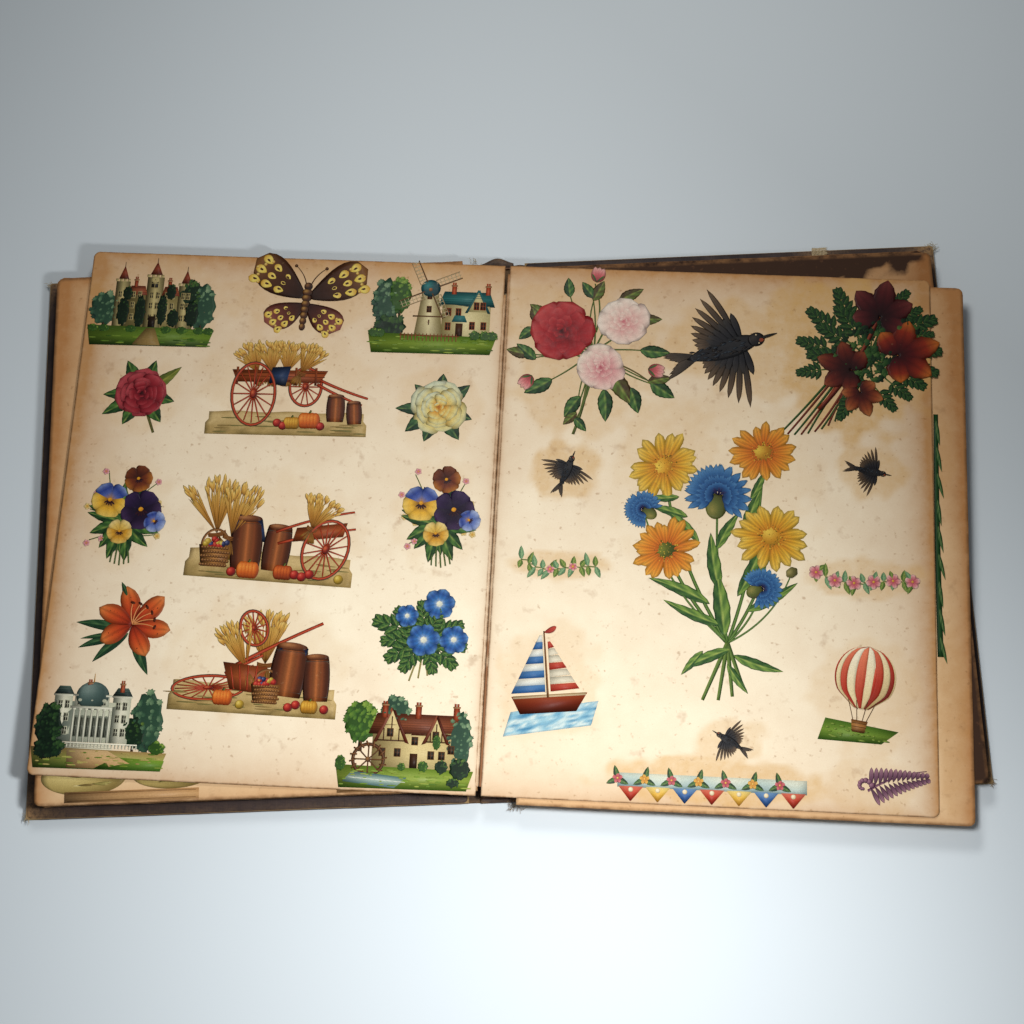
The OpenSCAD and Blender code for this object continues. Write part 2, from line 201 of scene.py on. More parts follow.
area_lamp("key_lamp", (0.13, -0.202, 0.473), (-0.3, -0.6, 0), (0.1, 0.08), 3.44, "#fdfeff")
area_lamp("head_lamp", (0.004, 0.4, 0.698), (0.3, 0.2, 0), (0.3, 0.2), 2.81, "#fffefc")
WORLD_COLOUR, WORLD_STRENGTH = "#e4e9ee", 0.155
world = bpy.data.worlds.new("studio")
world.use_nodes = True
plug(world.node_tree.nodes["Background"], {"Color": rgba(WORLD_COLOUR), "Strength": WORLD_STRENGTH})
bpy.context.scene.world = world
# Standard keeps the prints as saturated as the photo shows them
bpy.context.scene.view_settings.view_transform = "Standard"
print("two lamps and a pale floor")

# %% [markdown]
# ## Finishes
#
# Album paper is thick, soft wood-pulp paper that browns from its edges inwards. Its fibres, foxing spots
# and old paste stains follow the leaf, so each leaf carries a colour attribute called tone: red says how
# browned a place is, green how stained with paste, and blue how worn. On the leaves under the loose ones,
# green also carries painted shadow.

# %% Album paper
def toned_paper(name, light, brown, stain_and_shade, fox):
    """Uncoated pulp paper: matt, faintly fibrous, browned at its edges and foxed."""
    mat, shader = new_material(name, 0.86)
    tone = add(mat, "VertexColor", {}, layer_name="tone")
    browned, pasted, worn = add(mat, "SeparateColor", {"Color": tone}).node.outputs
    blotch, cloud, fibre, spots, wide_spots, cockle = patterns(
        mat, (38, 4, 0.55), (9, 5, 0.7), (0.9, 6, 0.75), (3.4, 2, 0.5), (12, 3, 0.6), (70, 2, 0.4))
    colour = tinted(mat, rgba(light), (
        (brown, "MIX", 1.0, blotch, 0.3, 0.72, 0.0, 0.2),
        (brown, "MIX", browned, cloud, 0.0, 1.0, 0.75, 1.25),
        # On the leaves under the loose ones, the green tone also lays painted shadow in this colour
        (stain_and_shade, "MIX", pasted, cloud, 0.25, 0.6, 0.42, 0.8),
        (fox, "MIX", 1.0, spots, 0.66, 0.76, 0.0, 0.42),
        (fox, "MIX", 1.0, wide_spots, 0.62, 0.78, 0.0, 0.35),
        (brown, "MULTIPLY", 1.0, fibre, 0.3, 0.7, 0.0, 0.12),
        ("#8d6440", "MIX", worn, cloud, 0.35, 0.6, 0.0, 1.0)))
    waves = add(mat, "Bump", {"Height": cockle, "Distance": 2.4 * MM, "Strength": 0.55})
    grain = add(mat, "Bump", {"Height": fibre, "Distance": 0.08 * MM, "Strength": 0.5, "Normal": waves})
    plug(shader, {"Base Color": colour, "Normal": grain, "Specular IOR Level": 0.2})
    return mat


page_paper = toned_paper("toned_album_paper", "#f8ebcf", "#bb8b59", "#d0a562", "#96683a")
under_paper = toned_paper("browned_album_paper", "#f6d9ab", "#b6804d", "#c4935a", "#8a5f37")
# This paper's stain colour is a dark brown painted shadow. It lies where the loose leaf shades the head of the leaves
# under it, and it also darkens a band along their fore-edge
browned_and_shaded_paper = toned_paper("browned_shade_painted_album_paper", "#dcb98c", "#a06c3e", "#3e2a1e", "#6b4830")
fold_paper = toned_paper("browned_fold_paper", "#f2dcb9", "#ab7b50", "#9c6b4a", "#6a4325")
print("album paper in four ages")


# %% [markdown]
# Book cloth is a plain-woven cotton filled with starch and pressed, so its threads show as a fine even
# grain with a slight sheen. Real threads stand 0.45 mm apart, too fine for the picture, so the weave is
# drawn at 1.1 mm. Corners and edges have lost their filling and show tan fibres and board. Along the tail
# edges, the same pale colour is painted light.

# %% Book cloth
# A Wave texture of scale 1 draws one thread every 0.314 m, and its second output is the threads' height
WAVE_M = 0.314
WAVE_HEIGHT = 1
THREAD_MM = 1.1


def book_cloth(name):
    """Starched plain weave: dull, grained, and bare where it has rubbed. On the tail edges, the bare colour is
    painted light.
    """
    mat, shader = new_material(name, 0.62)
    place = add(mat, "TexCoord", {}, "Object")
    tone = add(mat, "VertexColor", {}, layer_name="tone")
    worn = add(mat, "SeparateColor", {"Color": tone})
    warp, weft = (
        add(mat, "TexWave", {"Vector": place, "Scale": WAVE_M / (THREAD_MM * MM), "Distortion": 0.6, "Detail": 1.0},
            WAVE_HEIGHT, bands_direction=across) for across in "XY")
    weave = add(mat, "Math", {0: warp, 1: weft}, operation="MULTIPLY")
    rub, fray = patterns(mat, (14, 5, 0.7), (2.2, 5, 0.75))
    colour = tinted(mat, rgba("#241b1c"), (
        ("#3e302f", "MIX", 1.0, rub, 0.35, 0.75, 0.0, 0.75),
        ("#4a3a37", "MIX", 1.0, weave, 0.0, 0.7, 0.0, 0.25),
        ("#9a7750", "MIX", worn, fray, 0.3, 0.56, 0.0, 1.0)))
    rough = add(mat, "MapRange", {"Value": rub, "From Min": 0.3, "From Max": 0.8, "To Min": 0.7, "To Max": 0.5})
    grain = add(mat, "Bump", {"Height": weave, "Distance": 0.12 * MM, "Strength": 0.6})
    plug(shader, {"Base Color": colour, "Roughness": rough, "Normal": grain, "Sheen Weight": 0.06,
                  "Specular IOR Level": 0.32})
    return mat


cover_cloth = book_cloth("pressed_book_cloth")
print("book cloth")


# %% [markdown]
# The plain inner materials: strawboard is pressed straw pulp, coarse and yellow-brown; linen guards and
# tapes are open woven, so they look dry and grained; the lining is the same linen soaked with brown glue;
# the thread is waxed, so its fibres lie close; the bands are rolled brown cloth; the endpapers are like
# the leaves, one shade browner.

# %% Strawboard and linen
def plain_fibre(name, light, dark, grain_mm):
    """Matt fibre whose grains are grain_mm across, in broader clouds."""
    mat, shader = new_material(name, 0.9)
    grain, broad = patterns(mat, (grain_mm, 6, 0.7), (grain_mm * 12, 3, 0.6))
    colour = tinted(mat, rgba(light), (
        (dark, "MIX", 1.0, grain, 0.3, 0.7, 0.0, 1.0),
        (dark, "MIX", 1.0, broad, 0.4, 0.8, 0.0, 0.5)))
    relief = add(mat, "Bump", {"Height": grain, "Distance": 0.15 * MM, "Strength": 0.6})
    plug(shader, {"Base Color": colour, "Normal": relief})
    return mat


strawboard = plain_fibre("pressed_strawboard", "#a68a5e", "#80643f", 1.2)
linen = plain_fibre("unbleached_linen", "#d9c9a6", "#b39b72", 0.8)
glued_linen = plain_fibre("glue_browned_linen", "#75593a", "#4d3824", 0.8)
thread = plain_fibre("waxed_linen_thread", "#c9b892", "#9d8862", 0.6)
band_cloth = plain_fibre("rolled_band_cloth", "#86624a", "#5f4433", 0.9)
slot_finish = {
    "cover_cloth": cover_cloth, "strawboard": strawboard, "page_paper": under_paper,
    "endpaper": under_paper, "linen": linen, "thread": thread, "band": band_cloth,
    "scrap_print": under_paper,
}
for entry in frame["record"]["subparts"]:
    node_object = NODES[entry["node"]]
    node_object.data.materials.clear()
    node_object.data.materials.append(slot_finish[entry["material_slot"]])
print(len(slot_finish), "slots have finishes")

# %% [markdown]
# ## Leaves
#
# A leaf is a big sheet of paper, never quite flat or straight-edged. Each starts as a bmesh grid in the
# leaf's own frame, has its corners rounded and its edges worn by a few tenths of a millimetre, and gets
# its thickness from a Solidify modifier.

# %% Where the leaves lie
# The loose leaves lie askew, turned about the middle of their fold. Their places are measured from there
LOOSE_TURN = math.radians(4.85)
FOLD = Vector((-2.45, -2.9, 0)) * MM
LOOSE = Matrix.Translation(FOLD) @ Matrix.Rotation(-LOOSE_TURN, 4, "Z")
FLAT = Matrix.Identity(4)
# Heights, thicknesses and gaps of the leaves, in millimetres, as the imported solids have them
LEAF_H = 375
LEAF_T = 0.5
PITCH = 0.85
LOWEST_TOP = 0.85
BOARD_TOP = 4.0
BLOCK_EDGE = 18.75
BOUND_W = 288.5
# Bound leaves never line up: the width and place of each vary by up to this much, by turns of the golden angle
UNEVEN = 0.8
GOLDEN_DEG = 137
# A point this near a sheet's rim counts as on it
ON_EDGE = 0.01


def extent(node):
    """Lowest and highest corner of a CAD node, in millimetres."""
    low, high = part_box(node)
    return low / MM, high / MM


PAGE_Z = extent("left_top_leaf")[1].z
UNDER_Z = extent("slipped_leaf")[1].z
SECOND_Z = extent("left_second_leaf")[1].z
print("loose leaves at", round(PAGE_Z, 2), "mm")


# %% Small shape helpers
# Each seed reads the noise in a plane of its own, and these planes lie this far apart
SEED_STEP = 7.31


def wobble(x, y, seed, mm):
    """A smooth random value from -1 to 1 that changes over this many millimetres."""
    return noise.noise(Vector((x / mm, y / mm, seed * SEED_STEP)))


def rounded(x, y, w, h, r):
    """Pulls the corners of a w by h rectangle onto arcs of radius r."""
    cx = max(abs(x) - (w / 2 - r), 0)
    cy = max(abs(y) - (h / 2 - r), 0)
    if cx > 0 and cy > 0:
        k = max(cx, cy) / math.hypot(cx, cy)
        x = math.copysign(w / 2 - r + cx * k, x)
        y = math.copysign(h / 2 - r + cy * k, y)
    return x, y


def piece(bm, name, body, nodes, finish, thickness=0.0, blend=None):
    """Turns a bmesh into a smooth piece of the album and joins it to the model."""
    mesh = bpy.data.meshes.new(name)
    bm.to_mesh(mesh)
    bm.free()
    mesh.materials.append(finish)
    for face in mesh.polygons:
        face.use_smooth = True
    made = bpy.data.objects.new(name, mesh)
    bpy.context.collection.objects.link(made)
    if thickness:
        solid = made.modifiers.new("thickness", "SOLIDIFY")
        solid.thickness = thickness * MM
        solid.offset = -1
    if blend:
        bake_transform(made)
    else:
        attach(made, body)
    if nodes:
        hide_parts(*nodes)


print("a corner at 50, 50 is pulled in to", [round(c, 2) for c in rounded(50, 50, 100, 100, 5)])


# %% The leaf maker
def page_wave(x, y, seed):
    """How far a leaf's surface stands off flat, in millimetres: a slight cockle."""
    return 0.13 * wobble(x, y, seed, 90) + 0.05 * wobble(x, y, seed + 3, 30)


def edge_tone(x, y, w, h, seed, gutter):
    """How browned a place is: most at the fore-edge, less at head and tail, and more towards the head.

    Each rim, the gutter too, has its strength and how far in from it the place lies.
    """
    reach = max(4, 10 + 5 * wobble(x, y, seed, 40))
    rims = [
        strength * (0.62 * math.exp(-gap / reach) + 0.42 * math.exp(-gap / 38))
        for strength, gap in (
            (1.05, w / 2 + gutter * x),
            (0.66, h / 2 - abs(y)),
            (0.9, 9 + 8 * (w / 2 - gutter * x)),
        )
    ]
    return max(0.0, min(1.0, max(rims) + 0.6 * max(0.0, y / h + 0.1)))


def lay_sheet(bm, matrix, x0, w, y0, z, seed, h=LEAF_H, step=5.0, stains_and_shade=(), wear=0.25, radius=5, wave=1.0):
    """One sheet of paper from x0 to x0 + w, centred at y0, with its top at z, in millimetres.

    The corners at the gutter stay almost square.
    """
    gutter = -math.copysign(1, x0 + w / 2)
    tone = bm.verts.layers.float_color.get("tone") or bm.verts.layers.float_color.new("tone")
    made = bmesh.ops.create_grid(bm, x_segments=round(w / step), y_segments=round(h / step), size=1)
    for v in made["verts"]:
        u, t = (0.5 * c + 0.5 * math.sin(math.pi / 2 * c) for c in v.co.xy)
        x, y = rounded(u * w / 2, t * h / 2, w, h, min(radius, 0.8) if u * gutter > 0 else radius)
        at_edge = min(w / 2 - abs(x), h / 2 - abs(y)) < ON_EDGE
        if at_edge:
            shrink = wear * (0.5 + 0.5 * wobble(x, y, seed, 14))
            x -= math.copysign(shrink, x)
            y -= math.copysign(shrink, y)
        px, py = x0 + w / 2 + x, y0 + y
        # Besides paste, these marks lay painted shadow on the leaves under the loose ones
        stain_and_shade = 0.0
        for sx, sy, rx, ry, strength in stains_and_shade:
            d = math.hypot((px - sx) / rx, (py - sy) / ry) + 0.3 * wobble(px, py, seed, 11)
            stain_and_shade = max(stain_and_shade, strength * max(0.0, min(1.0, (1.1 - d) / 0.22)))
        v[tone] = (edge_tone(x, y, w, h, seed, gutter), stain_and_shade, 1.0 if at_edge else 0.0, 1.0)
        v.co = matrix @ (Vector((px, py, z + wave * page_wave(px, py, seed))) * MM)


cockles = [abs(page_wave(x, 0, 1)) for x in range(-300, 300, 5)]
print("across its middle a leaf stands off flat by up to", round(max(cockles), 2), "mm")


# %% The loose leaves
# Paste has soaked out round the scraps and browned: (x, y, half width, half height, strength)
LEFT_STAINS = (
    (-141, 155, 52, 27, 0.35), (-250, 80, 30, 27, 0.25), (-43, 79, 31, 28, 0.25), (-148, 92, 60, 40, 0.22),
    (-149, -14, 60, 40, 0.22), (-152, -103, 58, 40, 0.22), (-252, -5, 30, 38, 0.2), (-38, 2, 30, 38, 0.2),
    (-50, 152, 50, 36, 0.3), (-249, 151, 50, 36, 0.25))
RIGHT_STAINS = (
    (59, 119, 52, 54, 0.5), (20, 150, 26, 26, 0.35), (156, 134, 50, 32, 0.62), (186, 112, 26, 22, 0.55),
    (240, 128, 54, 60, 0.95), (206, 150, 30, 34, 0.8), (48, 37, 25, 21, 0.75), (254, 45, 24, 19, 0.65),
    (45, -30, 34, 10, 0.65), (249, -31, 40, 14, 0.6), (151, 30, 66, 70, 0.22), (118, 60, 34, 34, 0.4),
    (42, -109, 34, 38, 0.32), (248, -110, 34, 38, 0.32), (151, -171, 70, 15, 0.75), (161, -144, 24, 15, 0.5),
    (252, -170, 30, 18, 0.35))
# Each page's seed shapes its cockles, and the scraps on it repeat them
LEFT_SEED, RIGHT_SEED, INNER_SEED = 1, 2, 7
FOLD_HALF = 1.65
LOOSE_W = 294.5
SLIP = (23, -4.5)
UNDER_INSET = 1.5
for half, x0, seed, stains_and_shade in (("left", -FOLD_HALF - LOOSE_W, LEFT_SEED, LEFT_STAINS),
                               ("right", FOLD_HALF, RIGHT_SEED, RIGHT_STAINS)):
    leaf = half + "_top_leaf"
    bm = bmesh.new()
    lay_sheet(bm, LOOSE, x0, LOOSE_W, 0, PAGE_Z, seed, step=2.5, stains_and_shade=stains_and_shade)
    piece(bm, half + "_page", leaf, [leaf], page_paper, LEAF_T)
bm = bmesh.new()
lay_sheet(bm, LOOSE, FOLD_HALF + SLIP[0], LOOSE_W, SLIP[1], UNDER_Z, INNER_SEED,
          stains_and_shade=[(306, -120, 10, 60, 0.5), (300, 60, 12, 30, 0.5)])
piece(bm, "slipped_page", "slipped_leaf", ["slipped_leaf"], under_paper, LEAF_T)
bm = bmesh.new()
lay_sheet(bm, LOOSE, UNDER_INSET - FOLD_HALF - LOOSE_W, LOOSE_W - 2 * UNDER_INSET, 0, UNDER_Z, INNER_SEED,
          h=LEAF_H - 2 * UNDER_INSET)
piece(bm, "left_under_page", "left_fold", ["left_under_leaf"], under_paper, LEAF_T)
print("four loose leaves")

# %% The bound leaves
# Each half has a flyleaf, three sections of four leaves and one more leaf on top
def bound_stack(name, body, nodes, side, levels, phase, dy, painted_shade=()):
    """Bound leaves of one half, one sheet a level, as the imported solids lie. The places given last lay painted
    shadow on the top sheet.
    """
    bm = bmesh.new()
    for i in levels:
        w = BOUND_W + UNEVEN * math.sin(math.radians(GOLDEN_DEG * i + phase))
        y0 = dy + (UNEVEN * math.sin(math.radians(GOLDEN_DEG * i + phase + 60)) if i else 0.0)
        z = BOARD_TOP + LOWEST_TOP + PITCH * i
        lay_sheet(bm, FLAT, BLOCK_EDGE if side > 0 else -BLOCK_EDGE - w, w, y0, z, INNER_SEED,
                  step=8, wear=0.7, stains_and_shade=painted_shade if i == levels[-1] else ())
    piece(bm, name, body, nodes, browned_and_shaded_paper if painted_shade else under_paper, LEAF_T)


# Painted places, given as above: painted shadow where the loose leaf shades the head of the leaves under it, and a
# dark band along the fore-edge towards the tail
HEAD_SHADOW_PAINTED = ((110, 182, 196, 24, 3.2), (60, 190, 120, 34, 3.2))
DARK_FORE_EDGE = ((312, -125, 17, 85, 3.2),)
for half, side, phase, dy in (("front", -1, 0, 3), ("back", 1, 90, -4)):
    bound_stack(half + "_flyleaf_sheet", half + "_leaves", [half + "_flyleaf"], side, [0], phase, dy)
    for k in (1, 2, 3):
        bound_stack(f"{half}_section_{k}_leaves", half + "_leaves", [f"{half}_section_{k}"], side,
                    range(4 * k - 3, 4 * k + 1), phase, dy, painted_shade=HEAD_SHADOW_PAINTED if (half, k) == ("back", 3) else ())
# The third page gets the painted head shadow and the dark fore-edge band
for name, body, node, finish, stains_and_shade in (
        ("second_page", "front_leaves", "left_second_leaf", under_paper, ()),
        ("third_page", "third_leaf", "right_third_leaf", browned_and_shaded_paper, HEAD_SHADOW_PAINTED + DARK_FORE_EDGE)):
    low, high = extent(node)
    bm = bmesh.new()
    lay_sheet(bm, FLAT, low.x, high.x - low.x, (low.y + high.y) / 2, high.z, INNER_SEED, stains_and_shade=stains_and_shade)
    piece(bm, name, body, [node], finish, LEAF_T)
print("twenty-eight bound leaves")

# %% [markdown]
# ## The case
#
# Cloth is pasted round each board and turned over its edges. Its slab is a bmesh grid whose rows become
# rings: from the middle of the outside, round the edge, to the inner edge of the turn-in. The grid's two
# ends meet in a seam that is merged, and the first and last ring are filled. Corners take the wear first,
# and there the cloth has thinned to its fibres.

# %% The cloth round a board
BOARD_X, BOARD_W, BOARD_H = 25, 292, 385
CORNER_R = 3.2
CORNER_STEPS, SIDE_STEPS = 7, 56
# Points this near one another, in metres, are merged
MERGE_M = 2e-7
# Each ring of the slab: how far in from the board's edge it lies, and how high
SLAB_RINGS = ((90, 0), (40, 0), (16, 0), (6, 0), (2, 0.04), (0.7, 0.3), (0.12, 1.0), (0, 2.0), (0.12, 3.0),
              (0.7, 3.7), (2, 3.98), (6, 4.03), (12, 4.02), (16, 3.97), (16.3, 3.8), (16.5, 3.55))


def lerp(a, b, k):
    return [x + (y - x) * k for x, y in zip(a, b)]


def slab_loop(half_w, half_h, r):
    """Points round a rectangle with rounded corners, centred on the origin."""
    points = []
    for sx, sy, start in ((1, 1, 0), (-1, 1, 90), (-1, -1, 180), (1, -1, 270)):
        cx, cy = sx * (half_w - r), sy * (half_h - r)
        arc = [(cx + r * math.cos(math.radians(start + 90 * i / CORNER_STEPS)),
                cy + r * math.sin(math.radians(start + 90 * i / CORNER_STEPS))) for i in range(CORNER_STEPS + 1)]
        if points:
            first, last = points[-1], arc[0]
            points += [lerp(first, last, i / SIDE_STEPS) for i in range(1, SIDE_STEPS)]
        points += arc
    first, last = points[-1], points[0]
    return points + [lerp(first, last, i / SIDE_STEPS) for i in range(1, SIDE_STEPS)]


def cover_slab(name, body, node, side, seed, bald):
    """The cloth round one board. bald is a list of worn places: x, y, reach, strength."""
    middle = side * (BOARD_X + BOARD_W / 2)
    loops = [slab_loop(BOARD_W / 2 - inset, BOARD_H / 2 - inset, max(CORNER_R - inset, 0.5))
             for inset, z in SLAB_RINGS]
    count, last = len(loops[0]), len(loops) - 1
    bm = bmesh.new()
    tone = bm.verts.layers.float_color.new("tone")
    for v in bmesh.ops.create_grid(bm, x_segments=count, y_segments=last, size=1)["verts"]:
        row = round((v.co.y + 1) / 2 * last)
        inset, z = SLAB_RINGS[row]
        x, y = loops[row][round((v.co.x + 1) / 2 * count) % count]
        x *= side
        to_corner = math.hypot(BOARD_W / 2 - abs(x), BOARD_H / 2 - abs(y))
        outer = x * side > 0
        rub = 1.1 * math.exp(-to_corner / 9) if outer else 0.0
        # Painted light: the tail edges, which face the lamp, are lightened with the worn-cloth colour
        rub += 0.14 * math.exp(-(BOARD_H / 2 + y) / 5)
        if inset < 3:
            rub += 0.15 * max(0.0, wobble(x, y, seed, 16)) + 0.12 * max(0.0, wobble(x, y, seed, 4))
            nibble = 0.12 + 0.25 * (0.5 + 0.5 * wobble(x, y, seed, 7))
            if outer:
                nibble += math.exp(-to_corner / 6) * (0.5 + 0.5 * wobble(x, y, seed, 1.7))
            x -= math.copysign(nibble if abs(x) > BOARD_W / 2 - 4 else 0.0, x)
            y -= math.copysign(nibble if abs(y) > BOARD_H / 2 - 4 else 0.0, y)
        for bx, by, reach, strength in bald:
            rub += strength * math.exp(-math.hypot(x + middle - bx, y - by) / reach)
        v[tone] = (min(1.0, rub), 0, 0, 1)
        v.co = Vector((middle + x, y, z)) * MM
    bmesh.ops.remove_doubles(bm, verts=bm.verts, dist=MERGE_M)
    bmesh.ops.holes_fill(bm, edges=bm.edges)
    bmesh.ops.recalc_face_normals(bm, faces=bm.faces)
    piece(bm, name, body, [node], cover_cloth)


print("a slab has", len(SLAB_RINGS), "rings")


# %% Boards, pastedowns and joints
def bell(x, middle, width):
    return math.exp(-((x - middle) / width) ** 2)


CLOTH_T = 0.42
PASTEDOWN_T = 0.35
JOINT_IN, JOINT_OUT = 16.4, 25.8
GROOVE_Z, GROOVE_RISE = 0.45, 1.1
cover_slab("front_cover", "front_board", "front_cover_cloth", -1, 11,
           [(-314, -170, 10, 0.3), (-240, 192, 8, 0.4)])
cover_slab("back_cover", "back_board", "back_cover_cloth", 1, 12,
           [(236, 192, 9, 0.9), (314, -186, 8, 0.8), (312, 186, 8, 0.8), (150, -192, 14, 0.4)])
for half, side in (("front", -1), ("back", 1)):
    low, high = extent(half + "_pastedown")
    bm = bmesh.new()
    lay_sheet(bm, FLAT, low.x, high.x - low.x, 0, high.z, 8, h=high.y - low.y, step=8, wear=0.1, radius=1, wave=0)
    piece(bm, half + "_pastedown_sheet", half + "_board", [half + "_pastedown"], under_paper,
          PASTEDOWN_T)
    bm = bmesh.new()
    tone = bm.verts.layers.float_color.new("tone")
    for v in bmesh.ops.create_grid(bm, x_segments=12, y_segments=64, size=1)["verts"]:
        s, y = (v.co.x + 1) / 2, v.co.y * (BOARD_H / 2 - 0.6)
        rub = 0.5 * math.exp(-(BOARD_H / 2 - abs(y)) / 6) + 0.35 * bell(s, 0, 0.2) * (wobble(y, 0, side + 5, 22) > 0)
        v[tone] = (rub, 0, 0, 1)
        x = side * (JOINT_IN + (JOINT_OUT - JOINT_IN) * s)
        v.co = Vector((x, y, GROOVE_Z + GROOVE_RISE * math.sin(math.pi * s) ** 2)) * MM
    bmesh.ops.recalc_face_normals(bm, faces=bm.faces)
    if bm.faces[:][0].normal.z < 0:
        bmesh.ops.reverse_faces(bm, faces=bm.faces)
    piece(bm, half + "_joint_cloth", half + "_board", [], cover_cloth, CLOTH_T,
          blend=((side * 19, 0, 0.25), (side * 23, 0, 0.25)))
print("two covers and two joints")

# %% The spine cloth
# The cloth is turned in over the stiffener at head and tail, where it has swollen and come up a little
SPINE_PROFILE = ((188.4, 2.6), (190.8, 2.65), (192.0, 2.2), (192.4, 1.4), (192.35, 0.6), (191.8, 0.03))
SPINE_HALF = 17.1
SPINE_ROWS, SPINE_COLUMNS = 60, 24
profile = list(SPINE_PROFILE)
last_y, last_z = SPINE_PROFILE[-1]
profile += [(last_y - 2 * last_y * i / SPINE_ROWS, last_z) for i in range(1, SPINE_ROWS)]
profile += [(-y, z) for y, z in reversed(SPINE_PROFILE)]
bm = bmesh.new()
tone = bm.verts.layers.float_color.new("tone")
last = len(profile) - 1
for v in bmesh.ops.create_grid(bm, x_segments=SPINE_COLUMNS, y_segments=last, size=1)["verts"]:
    x = SPINE_HALF * v.co.x
    y, z = profile[round((v.co.y + 1) / 2 * last)]
    swell = 4.6 * bell(x, 5.5, 9) * max(0.0, min(1.0, (y - 189) / 2.5)) * (z > 0.5)
    v[tone] = (0.7 * math.exp(-(192.5 - abs(y)) / 3) * (0.5 + 0.5 * wobble(x, y, 9, 5)), 0, 0, 1)
    v.co = Vector((x, y + swell, z + 0.35 * swell)) * MM
piece(bm, "spine_cover", "spine", ["spine_cloth"], cover_cloth, CLOTH_T)
print("a spine of", len(profile), "rows")

# %% [markdown]
# ## The sewing
#
# The leaves are sewn on linen tapes, and each section hangs on a guard, a strip of linen that rises to it.
# Stitches and bands are tubes: a grid is rolled up along a few points, merged at its seam and filled at both
# ends.

# %% Guards
# Each guard rises from its foot on the tapes to the middle of its own section
PILE_FOOT = BOARD_TOP + LOWEST_TOP - LEAF_T
GUARD_HALF_H = 167.5
GUARD_FOOT, GUARD_FOOT_STEP, GUARD_EDGE = 15.05, 3.1, 18.1
GUARD_T = 0.25
TAPE_TOP = 3.4
for half, side in (("front", -1), ("back", 1)):
    bm = bmesh.new()
    for k in range(3):
        foot, head = GUARD_FOOT - GUARD_FOOT_STEP * k, PILE_FOOT + PITCH * (2.5 + 4 * k)
        for v in bmesh.ops.create_grid(bm, x_segments=10, y_segments=48, size=1)["verts"]:
            a, y = math.pi / 4 * (v.co.x + 1), v.co.y * GUARD_HALF_H
            frill = 0.12 * wobble(y, k, 13, 9)
            v.co = Vector((side * (foot + (GUARD_EDGE - foot) * math.sin(a) ** 1.7), y,
                           TAPE_TOP + (head - TAPE_TOP) * (1 - math.cos(a)) + frill)) * MM
    piece(bm, half + "_guard_linen", half + "_leaves", [half + "_guards"], linen, GUARD_T,
          blend=((side * 16, 0, TAPE_TOP), (side * GUARD_EDGE, 0, 7.5)))
print("guards for six sections")


# %% A thread maker
def tube(bm, points, radius, sides=3, swells=(1.0,)):
    """A closed thread through the points, which are in metres. Its radius is scaled by each swell in turn."""
    last = len(points) - 1
    made = bmesh.ops.create_grid(bm, x_segments=sides, y_segments=last, size=1)["verts"]
    for v in made:
        i = round((v.co.y + 1) / 2 * last)
        a = -math.pi * (v.co.x + 1)
        along = (points[min(i + 1, last)] - points[max(i - 1, 0)]).normalized()
        across = along.cross(Vector((0, 0, 1)))
        across = across.normalized() if across.length > 1e-6 else Vector((1, 0, 0))
        swell = radius * swells[i % len(swells)]
        v.co = points[i] + swell * (math.cos(a) * across + math.sin(a) * across.cross(along))
    bmesh.ops.remove_doubles(bm, verts=made, dist=MERGE_M)
    rolled = [v for v in made if v.is_valid]
    bmesh.ops.holes_fill(bm, edges=list({e for v in rolled for e in v.link_edges if e.is_boundary}))
    bmesh.ops.recalc_face_normals(bm, faces=list({f for v in rolled for f in v.link_faces}))


print("thread helper ready")

# %% Lining, tapes and stitches
TAPE_SPAN, TAPE_W, TAPE_T = 325, 14, 0.28
STITCH_PITCH, STITCH_STEP, THREAD_R = 5, 2.3, 0.2
low, high = extent("spine_lining")
bm = bmesh.new()
lay_sheet(bm, FLAT, low.x, high.x - low.x, 0, high.z, 21, h=high.y - low.y, step=6, radius=0.5, wave=0)
piece(bm, "spine_lining_scrim", "spine", ["spine_lining"], glued_linen, TAPE_T)
low, high = extent("sewing_tapes")
bm = bmesh.new()
TAPE_Y = [(i - 2) * TAPE_SPAN / 4 for i in range(5)]
for y in TAPE_Y:
    lay_sheet(bm, FLAT, low.x, high.x - low.x, y, high.z, 22, h=TAPE_W, step=2, radius=0.5, wave=0)
piece(bm, "sewing_tape_linen", "spine", ["sewing_tapes"], linen, TAPE_T)
bm = bmesh.new()
for y in TAPE_Y:
    for j in range(7):
        x = (j - 3) * STITCH_PITCH
        tube(bm, [Vector((x + 0.3 * math.sin(i), y + STITCH_STEP * (i - 3), 2.88 - 0.03 * (i - 3) ** 2 / 2)) * MM
                  for i in range(7)], THREAD_R * MM, 5)
piece(bm, "sewing_stitches", "spine", ["sewing_thread"], thread)
print(len(TAPE_Y), "tapes with their stitches")

# %% Bands and torn guards
# A band is a roll whose cloth swells between its tight stitches
BAND_HALF, BAND_R, BAND_SIDES = 16, 0.66, 10
for node in ("head_band", "tail_band"):
    low, high = extent(node)
    bm = bmesh.new()
    y, z = (low.y + high.y) / 2, high.z - 0.75
    tube(bm, [Vector((-BAND_HALF + 0.5 * i, y, z)) * MM for i in range(4 * BAND_HALF + 1)], BAND_R * MM,
         BAND_SIDES, (0.94, 1.13))
    piece(bm, node + "_roll", "spine", [node], band_cloth)

